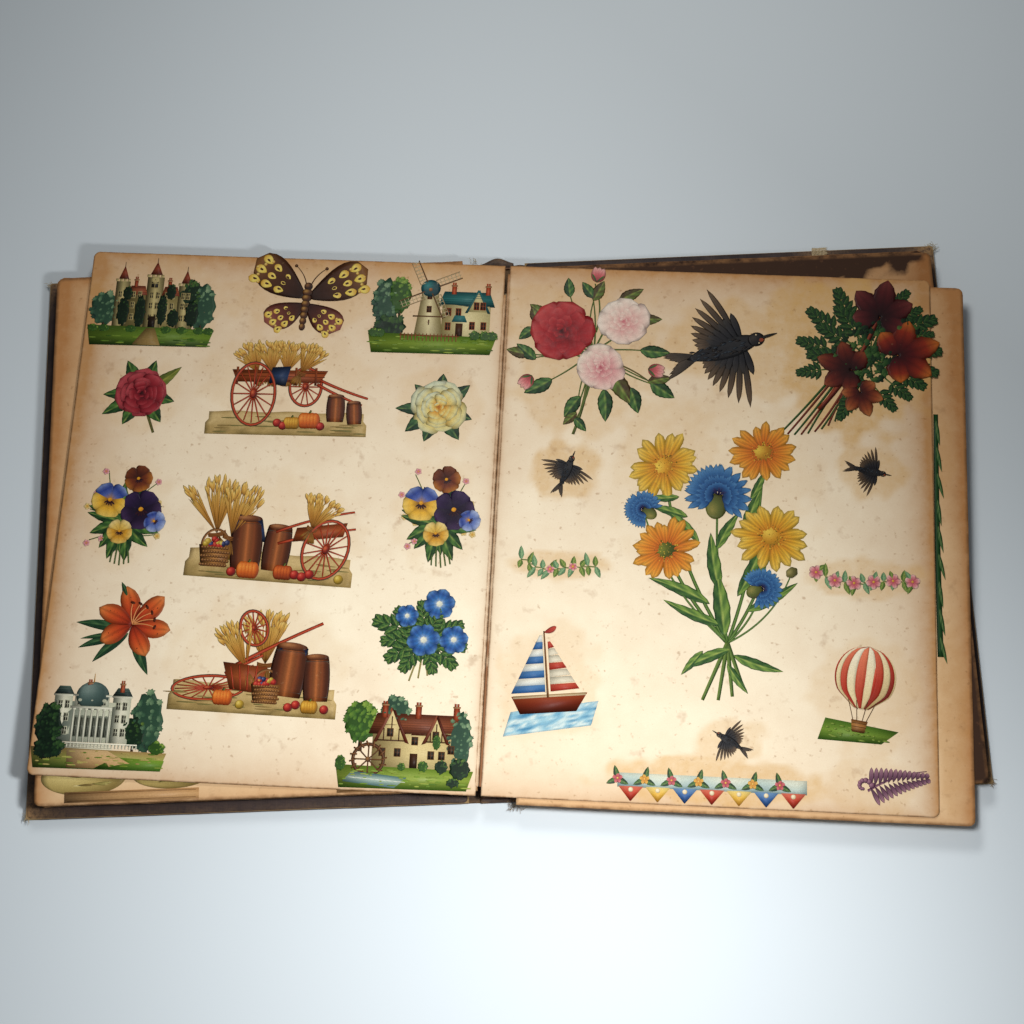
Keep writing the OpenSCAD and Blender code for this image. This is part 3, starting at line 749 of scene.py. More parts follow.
# Torn guards in the fold: the right one reaches further and is browned at the tail
STRIP_W, STRIP_GAP, STRIP_T = 22, 0.12, 0.18
for half, side, finish, y0, h, stains_and_shade in (("left", -1, page_paper, -8, 347, ()),
                                          ("right", 1, fold_paper, 0, 363, [(0, -165, 60, 72, 2.6)])):
    low = STRIP_GAP if side > 0 else -STRIP_W - STRIP_GAP
    bm = bmesh.new()
    lay_sheet(bm, LOOSE, low, STRIP_W, y0, extent(half + "_fold_strip")[1].z, 14 + side, h=h, step=2.5, wear=0.12,
              radius=1, wave=0, stains_and_shade=stains_and_shade)
    piece(bm, half + "_fold_guard", half + "_fold", [half + "_fold_strip"], finish, STRIP_T)
print("two bands and two torn guards")

# %% [markdown]
# Where the cloth has worn through, at the corners and the ends of the spine, its threads stand out. Each tuft
# is a fan of thin tubes whose places come from a seeded generator, so that every run gives the same ones.

# %% Frayed cloth
FRAY_SPREAD_DEG = 60


def tuft(name, body, place, reach, count, angle, width, fibre):
    """Loose fibres fanning out from a worn corner, in millimetres."""
    rng = random.Random(name)
    bm = bmesh.new()
    for _ in range(count):
        a = math.radians(angle + rng.uniform(-FRAY_SPREAD_DEG, FRAY_SPREAD_DEG))
        curl = rng.uniform(-0.5, 0.5)
        length = reach * rng.uniform(0.35, 1.0)
        x, y, z = place[0] + rng.uniform(-width, width), place[1] + rng.uniform(-width, width), place[2]
        lift = rng.uniform(-0.5, 0.9)
        points = []
        for i in range(6):
            s = i / 5
            bend = a + curl * s
            points.append(Vector((x + length * s * math.cos(bend), y + length * s * math.sin(bend),
                                  max(0.3, z + lift * s - 0.8 * s * s))) * MM)
        tube(bm, points, rng.uniform(0.09, 0.17) * MM)
    piece(bm, name, body, [], fibre)


for corner, body, place, reach, count, angle, width, fibre in (
        ("front_tail_corner", "front_board", (-315, -190, 3.2), 4.5, 25, 225, 2.0, linen),
        ("front_head_corner", "front_board", (-315, 190, 3.2), 4.5, 21, 130, 2.0, linen),
        ("back_head_corner", "back_board", (315, 190, 3.2), 5.5, 35, 55, 2.5, linen),
        ("back_tail_corner", "back_board", (315, -190, 3.2), 4.5, 22, -45, 2.0, strawboard),
        ("spine_foot", "spine", (7, -190.8, 3.0), 3.6, 60, -90, 6.5, strawboard),
        ("spine_head", "spine", (-10, 192.0, 2.6), 4, 19, 100, 4.0, linen)):
    tuft(corner + "_fray", body, place, reach, count, angle, width, fibre)
print("six frayed places")

# %% Torn scrim
# A rag of coarse scrim hangs out over the head of the back board, its threads still woven
SCRIM_X, SCRIM_Y, SCRIM_Z = 230.6, 183.6, 4.45
WARPS, WEFTS = 11, 13
SCRIM_JOINTS = 14
bm = bmesh.new()
rng = random.Random("scrim")
for across in (False, True):
    for i in range(WEFTS if across else WARPS):
        points = []
        last = rng.uniform(9.5, 11.8)
        for j in range(SCRIM_JOINTS):
            s = j / (SCRIM_JOINTS - 1) * last
            if across:
                x, y = SCRIM_X + s * 0.95, SCRIM_Y + 0.4 + 0.85 * i
            else:
                x, y = SCRIM_X + 0.98 * i, SCRIM_Y + s
            over = 0.16 * (-1) ** (i + j) * (1 if across else -1)
            drop = 2.2 * max(0.0, (y - 192.2) / 2.4) ** 1.4
            points.append(Vector((x + 0.25 * wobble(x, y, 31, 3), y + 0.25 * wobble(x, y, 32, 3),
                                  SCRIM_Z + over + 0.5 * wobble(x, y, 33, 6) - drop)) * MM)
        tube(bm, points, rng.uniform(0.22, 0.34) * MM, 4)
piece(bm, "torn_scrim", "back_board", [], linen)
print("scrim of", WARPS, "by", WEFTS, "threads")

# %% [markdown]
# ## Scraps
#
# A die-cut scrap is glossy printed paper, stamped out and embossed. Here each one is a heap of thin cut
# patches: every petal, leaf or wall is a bmesh grid bent to its outline by a small function, and inked
# vertex by vertex. Ink ramps run from the first colour to the last; u goes across a patch and t along it.
# In the drawings s is the scrap at hand, p and q are points on it, a is an angle in degrees, r a radius, and
# l and w are a length and a width in millimetres.

# %% Printed paper
def printed_paper():
    """Chromolithograph: stippled ink under a yellowed varnish, glossier than the leaf."""
    mat, shader = new_material("chromolithograph_print", 0.4)
    ink = add(mat, "VertexColor", {}, layer_name="print")
    stipple, rub = patterns(mat, (0.55, 2, 0.6), (6, 4, 0.7))
    colour = add(mat, "Mix", {AMOUNT: 0.45, UNDER: ink, OVER: ink}, MIXED, data_type="RGBA", blend_type="MULTIPLY")
    colour = tinted(mat, colour, (
        ("#8a6f4a", "MULTIPLY", 1.0, stipple, 0.35, 0.65, 0.0, 0.3),
        ("#d9bd8e", "MIX", 1.0, rub, 0.66, 0.82, 0.0, 0.25)))
    colour = add(mat, "Mix", {AMOUNT: 0.22, UNDER: colour, OVER: rgba("#f0d9a6")}, MIXED, data_type="RGBA",
                 blend_type="MULTIPLY")
    rough = add(mat, "MapRange", {"Value": rub, "From Min": 0.3, "From Max": 0.7, "To Min": 0.4, "To Max": 0.56})
    relief = add(mat, "Bump", {"Height": stipple, "Distance": 0.03 * MM, "Strength": 0.4})
    plug(shader, {"Base Color": colour, "Roughness": rough, "Normal": relief, "Specular IOR Level": 0.16})
    return mat


print_paper = printed_paper()
print("printed paper")


# %% Inks and outlines
def gradient(colours):
    """A function from 0..1 to a linear colour, through the sRGB hex values named."""
    if callable(colours):
        return colours
    stops = [linear(c) for c in colours.split()]
    if len(stops) == 1:
        stops = stops * 2

    def at(k):
        k = max(0.0, min(0.9999, k)) * (len(stops) - 1)
        return lerp(stops[int(k)], stops[int(k) + 1], k % 1)
    return at


def turned(p, angle, x, y):
    c, s = math.cos(math.radians(angle)), math.sin(math.radians(angle))
    return p[0] + c * x - s * y, p[1] + s * x + c * y


def round_map(u, t):
    """The square -1..1 mapped to a disc."""
    return u * math.sqrt(1 - t * t / 2), t * math.sqrt(1 - u * u / 2)


def blade(p, angle, length, width, belly, blunt, bend, teeth, notch):
    """The outline of a petal or leaf that grows from p and is widest at belly, from 0 to 1 along it."""
    power = math.log(0.5) / math.log(belly)

    def shape(u, t):
        s = (t + 1) / 2
        half = width / 2 * max(0.0, math.sin(math.pi * s ** power)) ** blunt
        if teeth:
            half *= 1 - notch * (s * teeth % 1)
        return turned(p, angle, length * s, -u * half + bend * length * s * s)
    return shape


print("ink at the middle of a ramp:", [round(c, 2) for c in gradient("#000000 #ffffff")(0.5)])

# %% The scrap maker
# Relief is the height that a scrap's patches share out between them
RELIEF = 0.3
SCRAP_T = 0.1
RING_STEPS = 28


class Scrap:
    """One die-cut scrap: inked patches laid one over the other, in millimetres."""

    def __init__(self, name, place, turn=0.0):
        self.name = name
        self.rng = random.Random(name)
        self.place, self.turn = place, turn
        self.bm = bmesh.new()
        self.ink = self.bm.verts.layers.float_color.new("print")
        self.cut = []
        self.layers = 0

    def patch(self, shape, ink, nu, nv, dome=0.06):
        """One inked grid: shape and ink say where u, t lies and its colour. dome is its rise, in mm."""
        self.layers += 1
        for v in bmesh.ops.create_grid(self.bm, x_segments=nu, y_segments=nv, size=1)["verts"]:
            u, t = v.co.x, v.co.y
            v[self.ink] = (*ink(u, t), 1.0)
            x, y = shape(u, t)
            v.co = (*turned(self.place, self.turn, x, y), self.layers)
            self.cut.append((v, self.layers, dome * (1 - u * u) * (1 - t * t)))

    def petal(self, p, angle, length, width, colours, belly=0.6, blunt=0.6, bend=0.0, streak=0.18, edge=0.45,
              nu=6, nv=8, teeth=0):
        """A petal or blade growing from p, inked from its foot to its tip."""
        at = gradient(colours)

        def ink(u, t):
            k = 1 - streak * (0.5 + 0.5 * math.cos(u * 9.4)) - edge * max(0.0, abs(u) - 0.6) / 0.4
            return [c * k for c in at((t + 1) / 2)]
        self.patch(blade(p, angle, length, width, belly, blunt, bend, teeth, 0.16), ink, nu, nv)

    def leaf(self, p, angle, length, width, colours, bend=0.0, teeth=7):
        """A leaf with a pale midrib, darker on one side."""
        at = gradient(colours)

        def ink(u, t):
            s = (t + 1) / 2
            rib = max(0.0, 1 - abs(u) * 4)
            vein = 0.14 * math.cos(22 * s - 5 * abs(u))
            return at(0.3 + 0.26 * (u > 0) + vein + 0.5 * rib - 0.3 * max(0.0, abs(u) - 0.75) / 0.25)
        outline = blade(p, angle, length, width, 0.42, 0.85, bend, teeth, 0.14)
        self.patch(outline, ink, 8, 14 if length > 12 else 8)

    def disc(self, p, rx, colours, ry=None, angle=0.0, lobes=0, depth=0.0, light=(-0.3, 0.35), n=6):
        """A round or lobed patch, inked outwards from a highlight."""
        at = gradient(colours)
        ry = ry or rx

        def shape(u, t):
            x, y = round_map(u, t)
            k = 1 - depth * (0.5 - 0.5 * math.cos(lobes * math.atan2(y, x))) * math.hypot(x, y)
            return turned(p, angle, rx * x * k, ry * y * k)

        def ink(u, t):
            x, y = round_map(u, t)
            return at(math.hypot(x - light[0], y - light[1]) / 1.4)
        self.patch(shape, ink, n if not lobes else max(n, 8), n if not lobes else max(n, 8))

    def stem(self, p, q, w0, w1, colours="#3c5a2c #7f9a55", sag=0.0, steps=8):
        """A stalk from p to q, bowed sideways by sag of its length."""
        at = gradient(colours)
        length = math.hypot(q[0] - p[0], q[1] - p[1])
        angle = math.degrees(math.atan2(q[1] - p[1], q[0] - p[0]))

        def shape(u, t):
            s = (t + 1) / 2
            return turned(p, angle, length * s, -u * (w0 + (w1 - w0) * s) / 2 + 4 * sag * length * s * (1 - s))
        self.patch(shape, lambda u, t: at((u + 1) / 2), 2, steps, 0.02)

    def quad(self, a, b, c, d, colours, across=False):
        """A flat four-cornered patch: a, b along its foot, c, d along its top."""
        at = gradient(colours)

        def shape(u, t):
            x, y = (u + 1) / 2, (t + 1) / 2
            return [(a[i] * (1 - x) + b[i] * x) * (1 - y) + (d[i] * (1 - x) + c[i] * x) * y for i in (0, 1)]
        self.patch(shape, lambda u, t: at(((u if across else t) + 1) / 2), 2, 2, 0.0)

    def box(self, x, y, w, h, colours, across=False):
        self.quad((x, y), (x + w, y), (x + w, y + h), (x, y + h), colours, across)

    def ring(self, p, rx, width, colours, ry, angle=0.0):
        """A flat ring, such as a wheel's rim."""
        at = gradient(colours)

        def shape(u, t):
            a = math.pi * t
            return turned(p, angle, (rx - u * width / 2) * math.cos(a), (ry - u * width / 2) * math.sin(a))
        self.patch(shape, lambda u, t: at((u + 1) / 2), 2, RING_STEPS, 0.0)

    def finish(self, body, nodes, seed, matrix=None, top=None):
        """Lays the patches on the page's cockled surface, merges their pinched ends and joins them to the model."""
        bm = self.bm
        matrix = matrix or LOOSE
        top = top or PAGE_Z
        for v, layer, lift in self.cut:
            v.co.z = top + SCRAP_T + RELIEF * layer / self.layers + lift + page_wave(v.co.x, v.co.y, seed)
        for v, layer, lift in self.cut:
            v.co = matrix @ (v.co * MM)
        bmesh.ops.remove_doubles(bm, verts=bm.verts, dist=MERGE_M)
        bm.normal_update()
        bmesh.ops.reverse_faces(bm, faces=[f for f in bm.faces if f.normal.z < 0])
        piece(bm, self.name, body, nodes, print_paper, SCRAP_T)


def on_left_page(scrap, *nodes):
    scrap.finish("left_top_leaf", nodes, LEFT_SEED)


def on_right_page(scrap, *nodes):
    scrap.finish("right_top_leaf", nodes, RIGHT_SEED)


print("a scrap is", SCRAP_T + RELIEF, "mm thick with its relief")


# %% [markdown]
# ## Flowers
#
# A rose is rings of petals, dark at the foot and pale at the rim, each ring smaller and turned against the
# last. The same maker draws the dark red, yellow, scarlet and pink ones.

# %% Roses
def rose(s, p, r, colours):
    """A full rose of radius r, from its outer ring of petals to its heart."""
    at = gradient(colours)
    turn = s.rng.uniform(0, 60)
    for count, reach, width, start in ((6, 1.0, 1.05, 0.25), (6, 0.84, 0.85, 0.12), (5, 0.66, 0.72, 0.18),
                                       (4, 0.48, 0.56, 0.05), (3, 0.32, 0.42, 0.12), (3, 0.18, 0.26, 0.0)):
        turn += 37
        for i in range(count):
            a = turn + 360 * i / count + s.rng.uniform(-9, 9)
            glow = 0.12 * math.cos(math.radians(a - 130))
            s.petal(p, a, r * reach * s.rng.uniform(0.92, 1.06), r * width,
                    lambda k, glow=glow, start=start: at(start + glow + (1 - start) * k ** 1.3),
                    belly=0.68, blunt=0.45, bend=s.rng.uniform(-0.12, 0.12), streak=0.1, edge=0.4, nu=8)
    s.disc(p, r * 0.08, lambda k: at(0.1 * k))


LEAF_GREEN = "#0f2817 #24502b #5c8a45 #a7b765"
RED_ROSE = "#3a0a12 #7c1526 #a92c3b #c9606a"
YELLOW_ROSE = "#c07a1f #e6b84c #ecdf9a #dfe6d2"
print("rose maker ready")

# %% Single roses
s = Scrap("dark_red_rose", (-250, 81), 8)
s.stem((2, -10), (7, -30), 2.2, 1.8, "#4d4a1f #8a8a45")
for a, l, w in ((205, 31, 11), (175, 27, 10), (112, 27, 12), (62, 26, 11), (25, 33, 9), (-20, 24, 11),
                (-65, 26, 13), (240, 26, 12)):
    s.leaf((0, 0), a, l, w, LEAF_GREEN if a != 25 else "#4d5a24 #7f8d3c #b5b25a", s.rng.uniform(-0.1, 0.1))
rose(s, (0, 0), 18.5, RED_ROSE)
on_left_page(s, "rose_scraps")

s = Scrap("yellow_rose", (-42.5, 79), -10)
for a, l, w in ((198, 30, 11), (150, 24, 11), (95, 25, 13), (45, 27, 12), (-8, 25, 11), (-50, 28, 14),
                (-95, 27, 13), (228, 29, 13)):
    s.leaf((0, 0), a, l, w, "#0d2219 #1d4530 #47754a #93aa62", s.rng.uniform(-0.1, 0.1))
rose(s, (0, 0), 20, YELLOW_ROSE)
on_left_page(s, "rose_scraps")
print("two single roses pasted")

# %% Rose bouquet
s = Scrap("rose_bouquet", (59, 119))
s.stem((2, 2), (-8, -56), 2.6, 2.0, "#41502a #8c9658", 0.04)
TWIG = "#4c5b2c #7f9a55"
s.stem((0, 0), (-37, 26), 1.3, 0.9, TWIG, 0.1)
s.stem((5, 20), (3, 57), 1.4, 0.9, TWIG, -0.08)
s.stem((10, 0), (44, -16), 1.4, 0.9, "#5c4a2c #8f8a4c", 0.06)
BOUQUET_LEAVES = ((-28, 30, 150, 17, 9), (-38, 22, 215, 14, 8), (-36, 26, 110, 13, 8), (2, 44, 60, 17, 9),
                  (3, 46, 130, 15, 8), (20, 44, 35, 20, 9), (32, 30, 10, 19, 9), (36, 8, -10, 21, 10),
                  (42, -16, 20, 17, 9), (44, -16, -35, 20, 11), (30, -20, -70, 20, 11), (12, -22, -80, 24, 11),
                  (-4, -28, -130, 19, 10), (-24, -16, 215, 22, 11), (-40, 2, 175, 17, 9), (-6, -40, 225, 13, 7),
                  (-8, -44, -40, 13, 7), (16, -8, -60, 30, 13), (-36, -2, 140, 18, 9), (-14, 46, 100, 15, 8))
for x, y, a, l, w in BOUQUET_LEAVES:
    s.stem((4, 6), turned((x, y), a, 2, 0), 1.4, 0.8, TWIG, s.rng.uniform(-0.08, 0.08))
for x, y, a, l, w in BOUQUET_LEAVES:
    s.leaf((x, y), a, l, w, s.rng.choice((LEAF_GREEN, LEAF_GREEN, "#3a2415 #5f4a22 #6f8a3c #b0b764")),
           s.rng.uniform(-0.12, 0.12))
rose(s, (9, -6), 18, "#c56c7c #e3a6ab #f1d4cf #f6ece2")
rose(s, (24, 29), 19, "#d98d97 #ecbfbd #f5e0d8 #f8f0e8")
rose(s, (-19, 20), 23, "#4a0610 #930f1c #bb2531 #d05a5a")
for x, y, a in ((4, 58, 80), (-38, -14, 230), (42, -6, -10)):
    for j in (-16, 0, 16):
        s.petal((x, y), a + j, 12, 7, "#b03545 #e07f86 #f3cfc8", belly=0.45, blunt=0.7)
    for j in (-34, 34):
        s.petal((x, y), a + j, 8, 2.6, "#33552c #6f8c46")
on_right_page(s, "rose_bouquet_scrap")
print(s.layers, "patches in the rose bouquet")


# %% [markdown]
# Pansies have five petals each: two behind, two at the sides and one lip in front with a dark face.

# %% Pansies
def pansy(s, p, r, back, front, turn):
    """A pansy of radius r, with the colours of its two back petals and of its three front ones."""
    for a, colours in ((130, back), (50, back), (195, front), (-15, front), (-90, front)):
        wide = 1.25 if a == -90 else 1.0
        s.petal(p, a + turn, r, r * wide, colours, belly=0.68, blunt=0.42, edge=0.3, streak=0.12, nu=8)
    for a in (215, 245, 270, 295, 325):
        s.petal(p, a + turn, r * 0.45, r * 0.13, "#2a1020 #4d2233", edge=0)
    s.disc(p, r * 0.13, "#f0c23a #c98a1d")


def sprig(s, p, q, colours, size, count):
    """A thin stalk set with small five-petalled flowers."""
    s.stem(p, q, 0.8, 0.6, sag=s.rng.uniform(-0.1, 0.1))
    for i in range(count):
        k = (i + 1.2) / (count + 0.2)
        c = [p[j] + (q[j] - p[j]) * k + s.rng.uniform(-2.2, 2.2) for j in (0, 1)]
        for j in range(5):
            s.petal(c, 72 * j + 20 * i, size, size * 0.8, colours, blunt=0.5, edge=0.25, nu=4, nv=4)
        s.disc(c, size * 0.25, "#f3d26a #c78c2c", n=4)


BLUE_PANSY = "#d9a320 #6a7fc4 #2f4ea6 #9fb4e0"
for name, place, turn in (("pansy_bunch_left", (-252, -6.6), 0), ("pansy_bunch_right", (-38, 1), 6)):
    s = Scrap(name, place, turn)
    for i, (x, y) in enumerate(((-22, 14), (-24, 2), (20, 22), (24, -14), (-14, 30), (24, 8), (-22, -20))):
        sprig(s, (0, -12), (x, y), ("#d9647a #f2b9c0 #f6dcd6", "#e8b94a #f3dd9c #f5e8c2")[i % 2], 2.6, 3)
    for a, l, w in ((150, 27, 9), (170, 26, 8), (200, 24, 10), (225, 24, 10), (250, 28, 11), (285, 28, 11),
                    (310, 25, 10), (340, 26, 9), (20, 28, 9), (60, 30, 10), (100, 28, 9), (265, 22, 9)):
        s.leaf((0, -6), a, l, w, LEAF_GREEN, s.rng.uniform(-0.15, 0.15), 5)
    for j in range(5):
        s.stem((0, -10), (-6 + 3.2 * j, -37 + abs(j - 2)), 1.3, 1.0, sag=0.02 * (j - 2))
    pansy(s, (7, 25), 10, "#3a1a14 #6b3320 #8f4f26", "#53241a #8a4526 #c98a3a", 20)
    pansy(s, (-11, 9), 13, BLUE_PANSY, "#7a3a1c #f0c84a #f3dc86", -8)
    pansy(s, (11, 3), 14.5, "#1c1030 #33204d #4b3368", "#120a22 #2d1a40 #59406f", 10)
    pansy(s, (-2, -13), 9, "#d8b23f #ead07a #f2e3ad", "#8c5a24 #e2b440 #f0d98a", 0)
    pansy(s, (21, -5), 8, BLUE_PANSY, "#4a66b4 #7f97d2 #c4d0ea", 60)
    on_left_page(s, "pansy_scraps")
print(s.layers, "patches in a bunch of pansies")

# %% Lily
s = Scrap("orange_lily", (-237.6, -84))
for x, y, a, l, w in ((-6, -4, 165, 32, 7), (-6, -8, 190, 30, 6), (-2, -6, 215, 30, 7), (0, 4, 105, 27, 7),
                      (2, -6, -75, 30, 8), (-4, -8, 178, 30, 4)):
    s.leaf((x, y), a, l, w, "#173324 #2d5a3c #6b9460", 0.14, 0)
for a, l in ((98, 27), (40, 28), (-12, 26), (-68, 24), (205, 24), (150, 26)):
    s.petal((0, 0), a, l, 13.5, "#8c2413 #d2532a #e8783a #efa35c", belly=0.58, blunt=0.62, bend=0.1, streak=0.3, nu=8)
    for j in range(6):
        q = turned((0, 0), a, l * (0.25 + 0.09 * j), s.rng.uniform(-2.4, 2.4))
        s.disc(q, 0.55, "#4d1410 #6d2216", n=2)
for a in (75, 55, 35, 15, -5, 95):
    q = turned((0, 0), a, 15, 0)
    s.stem((0, 0), q, 0.8, 0.6, "#d98c4c #f0c08a", 0.08)
    s.disc(q, 1.7, "#7a3a1c #3c170e", ry=0.9, angle=a + 70, n=4)
on_left_page(s, "lily_scrap")
print(s.layers, "patches in the lily")


# %% Blue flowers
def ferny(s, p, angle, length, colours=LEAF_GREEN):
    """A divided leaf: a rib with paired lobes."""
    s.stem(p, turned(p, angle, length, 0), 1.0, 0.5)
    for i in range(5):
        k = 0.25 + 0.17 * i
        for side in (-1, 1):
            s.leaf(turned(p, angle, length * k, 0), angle + side * (58 - 6 * i), length * (0.42 - 0.05 * i),
                   length * 0.2, colours, 0.0, 3)
    s.leaf(turned(p, angle, length * 0.85, 0), angle, length * 0.3, length * 0.16, colours, 0.0, 0)


s = Scrap("blue_flowers", (-41, -83))
for j in range(3):
    s.stem((0, 0), (-9 + 6 * j, -31 + 2 * j), 1.4, 1.1, "#8c8a4c #c4ba80")
for a, l in ((165, 33), (190, 27), (140, 25), (100, 22), (20, 24), (-15, 26), (-45, 27), (-75, 24), (215, 28),
             (240, 26), (60, 20)):
    ferny(s, (0, 0), a, l)
for x, y, r in ((8, 22, 11), (-1, -3, 11.5), (19, -2, 10), (-13, 13, 8)):
    for j in range(6):
        s.petal((x, y), 60 * j + 12, r, r * 0.85, "#e9f0f2 #4a8fd0 #2a62b0 #7fb4e4", belly=0.62, blunt=0.45,
                streak=0.22)
    s.disc((x, y), r * 0.28, "#f4f4e6 #c9d2d0", lobes=8, depth=0.3)
    s.disc((x, y), r * 0.12, "#7a8a5c #3c4a2c", n=4)
on_left_page(s, "blue_flower_scrap")
print("left-hand flowers pasted")


# %% [markdown]
# The big bouquet on the right leaf stands yellow ox-eyes and blue cornflowers on long stalks.

# %% Daisies and cornflowers
def daisy(s, p, r, petal_colours, eye_colours, tilt, squeeze):
    """Two rings of petals round a grained eye, foreshortened by squeeze across tilt."""
    for ring, count in ((1.0, 15), (0.86, 12)):
        for i in range(count):
            a = 360 * i / count + s.rng.uniform(-7, 7) + 11 * ring
            k = math.hypot(math.cos(math.radians(a - tilt)), squeeze * math.sin(math.radians(a - tilt)))
            s.petal(p, a, r * ring * k * s.rng.uniform(0.9, 1.05), r * 0.27, petal_colours, belly=0.66, blunt=0.42,
                    streak=0.28, edge=0.4)
    s.disc(p, r * 0.4, eye_colours, ry=r * 0.4 * squeeze, angle=tilt, n=10)
    for i in range(70):
        a, k = s.rng.uniform(0, 360), math.sqrt(s.rng.random()) * 0.36 * r
        x, y = turned((0, 0), a, k, 0)
        s.disc(turned(p, tilt, x, y * squeeze), r * 0.028, s.rng.choice(("#f3df6a #d2a52c", "#9a8426 #6b5c1c")), n=2)


def cornflower(s, p, r, angle):
    """A tuft of toothed blue trumpets over a scaly green cup."""
    s.disc(turned(p, angle + 180, r * 0.35, 0), r * 0.42, "#a8a05c #6f7a3c #4c4a24", ry=r * 0.33, angle=angle)
    for ring, count in ((1.0, 11), (0.75, 9), (0.5, 6)):
        for i in range(count):
            a = angle + (i - (count - 1) / 2) * 250 / count + s.rng.uniform(-8, 8)
            q = turned(p, a, r * ring * 0.25, 0)
            for j in (-24, 0, 24):
                s.petal(q, a + j, r * ring * 0.8, r * 0.24, "#0f2a5c #1f5698 #4a8ac4 #7fb4dc", belly=0.55, blunt=0.8,
                        streak=0.2, nu=4, nv=5)
    for i in range(8):
        s.petal(p, angle + s.rng.uniform(-60, 60), r * 0.4, r * 0.06, "#1c1c4d #4d3f8c", nu=2, nv=3)


print("daisy and cornflower makers ready")

# %% The big bouquet
s = Scrap("daisy_bouquet", (151, -23))
TIE = (8, -56)
GREENS = "#1f4427 #3f7138 #8fae58"
for x, y, w, sag in ((-37, 66, 2.6, 0.06), (30, 78, 2.4, -0.04), (36, 18, 2.4, -0.06), (-34, 6, 2.8, 0.05),
                     (0, 44, 2.0, 0.03), (-50, 34, 1.6, 0.08), (30, -18, 1.6, -0.08), (50, -6, 1.4, -0.1)):
    s.stem(TIE, (x, y), w, w * 0.7, "#33582c #7fa056 #4d7a3c", sag, 14)
for i, a in enumerate((248, 262, 276, 290)):
    s.stem(TIE, turned(TIE, a, 42 - 3 * i, 0), 3.0, 2.2, "#33582c #93ad5c", 0.0)
for x, y, a, l, w, b in ((-4, -30, 150, 44, 9, 0.15), (2, -20, 105, 40, 10, -0.1), (14, -24, 60, 42, 9, 0.12),
                         (20, -34, 25, 40, 8, 0.12), (4, -44, 165, 42, 8, -0.12), (-12, 12, 125, 34, 7, 0.2),
                         (-20, 30, 160, 26, 7, 0.1), (18, 16, 80, 38, 9, -0.12), (16, 40, 120, 26, 7, 0.15),
                         (0, 8, 70, 30, 8, -0.15), (10, -60, 200, 34, 8, 0.1), (12, -64, -25, 34, 8, 0.15),
                         (6, -52, 95, 46, 12, 0.05), (26, -8, 55, 24, 6, 0.1), (-26, 44, 190, 22, 6, -0.1),
                         (8, -70, -60, 24, 6, 0.1), (22, 44, 60, 24, 6, 0.1), (-8, -62, 230, 22, 6, 0)):
    s.leaf((x, y), a, l, w, GREENS + " #c3cd7c", b, 5)
GOLD = "#b5661c #e0a02c #f0c845 #f6df7c"
AMBER = "#a84c18 #dd8228 #f0a83a #f5c85c"
daisy(s, (-37, 66), 27, GOLD, "#f6e06a #dca72c #8a6a1c", 60, 0.85)
daisy(s, (36, 18), 27, GOLD, "#f3dc6a #d2a02c #7f6a1c", -15, 0.9)
daisy(s, (-34, 6), 25, AMBER, "#9aa044 #5c6a24 #33401a", 40, 0.85)
daisy(s, (30, 78), 24, AMBER, "#f0d860 #c8962c #80641c", 20, 0.9)
cornflower(s, (0, 46), 22, 82)
cornflower(s, (-50, 34), 13, 150)
cornflower(s, (30, -18), 14, 25)
s.disc((50, -6), 4.5, "#b9b078 #7f7a44 #55522a", ry=3.6, angle=40, lobes=6, depth=0.1)
on_right_page(s, "daisy_bouquet_scrap")
print(s.layers, "patches in the big bouquet")

# %% [markdown]
# ## Views, harvests and small scraps
#
# The four corner scraps are little landscapes: a castle, a windmill, a garden pavilion and a water mill,
# each on a strip of lawn between trees. Walls and roofs are flat patches, trees are heaps of lobed discs.

# %% Trees and buildings
OAK = "#10241a #24452a #4a7036 #86a052"
BRIGHT = "#27491f #4f7d30 #86a848 #bccb74"
MISTY = "#24443c #4a7358 #86a584 #b4c6a6"
SHADED = "#0a1c14 #1c3a24 #3a5f34 #668a4c"
VIEW_W, VIEW_FOOT = 90, -33


def tree(s, p, rx, ry, colours, count=30, trunk=True):
    """A heap of leafy tufts, lit from the upper right."""
    at = gradient(colours)
    if trunk:
        s.stem((p[0], p[1] - ry * 1.25), p, rx * 0.22, rx * 0.12, "#2a1d14 #5c4630")
    s.disc(p, rx * 0.9, lambda k: at(0.12 + 0.1 * k), ry * 0.9, lobes=9, depth=0.15)
    for i in range(count):
        a = s.rng.uniform(0, 2 * math.pi)
        k = math.sqrt(s.rng.random())
        x, y = math.cos(a) * k, math.sin(a) * k
        light = 0.42 + 0.2 * x + 0.22 * y + s.rng.uniform(-0.14, 0.14)
        s.disc((p[0] + rx * x * 0.85, p[1] + ry * y * 0.85), rx * s.rng.uniform(0.16, 0.3),
               lambda k, light=light: at(light + 0.16 - 0.36 * k), rx * s.rng.uniform(0.12, 0.22),
               s.rng.uniform(0, 90), lobes=7, depth=0.35)


def lawn(s, h, colours="#2c4a1c #5f8a2f #93ab45 #6f8f3c"):
    """The strip of grass, h high, that a view stands on."""
    w, y = VIEW_W, VIEW_FOOT
    s.quad((-w / 2 + 3, y - 1), (w / 2 - 4, y), (w / 2, y + h), (-w / 2, y + h + 1), colours)
    at = gradient(colours)
    for i in range(46):
        k = s.rng.uniform(0.1, 0.95)
        p = (s.rng.uniform(-w / 2 + 3, w / 2 - 4), y + h * s.rng.uniform(0.05, 0.95))
        s.disc(p, s.rng.uniform(1, 4), lambda j, k=k: at(k), 0.5, n=4)


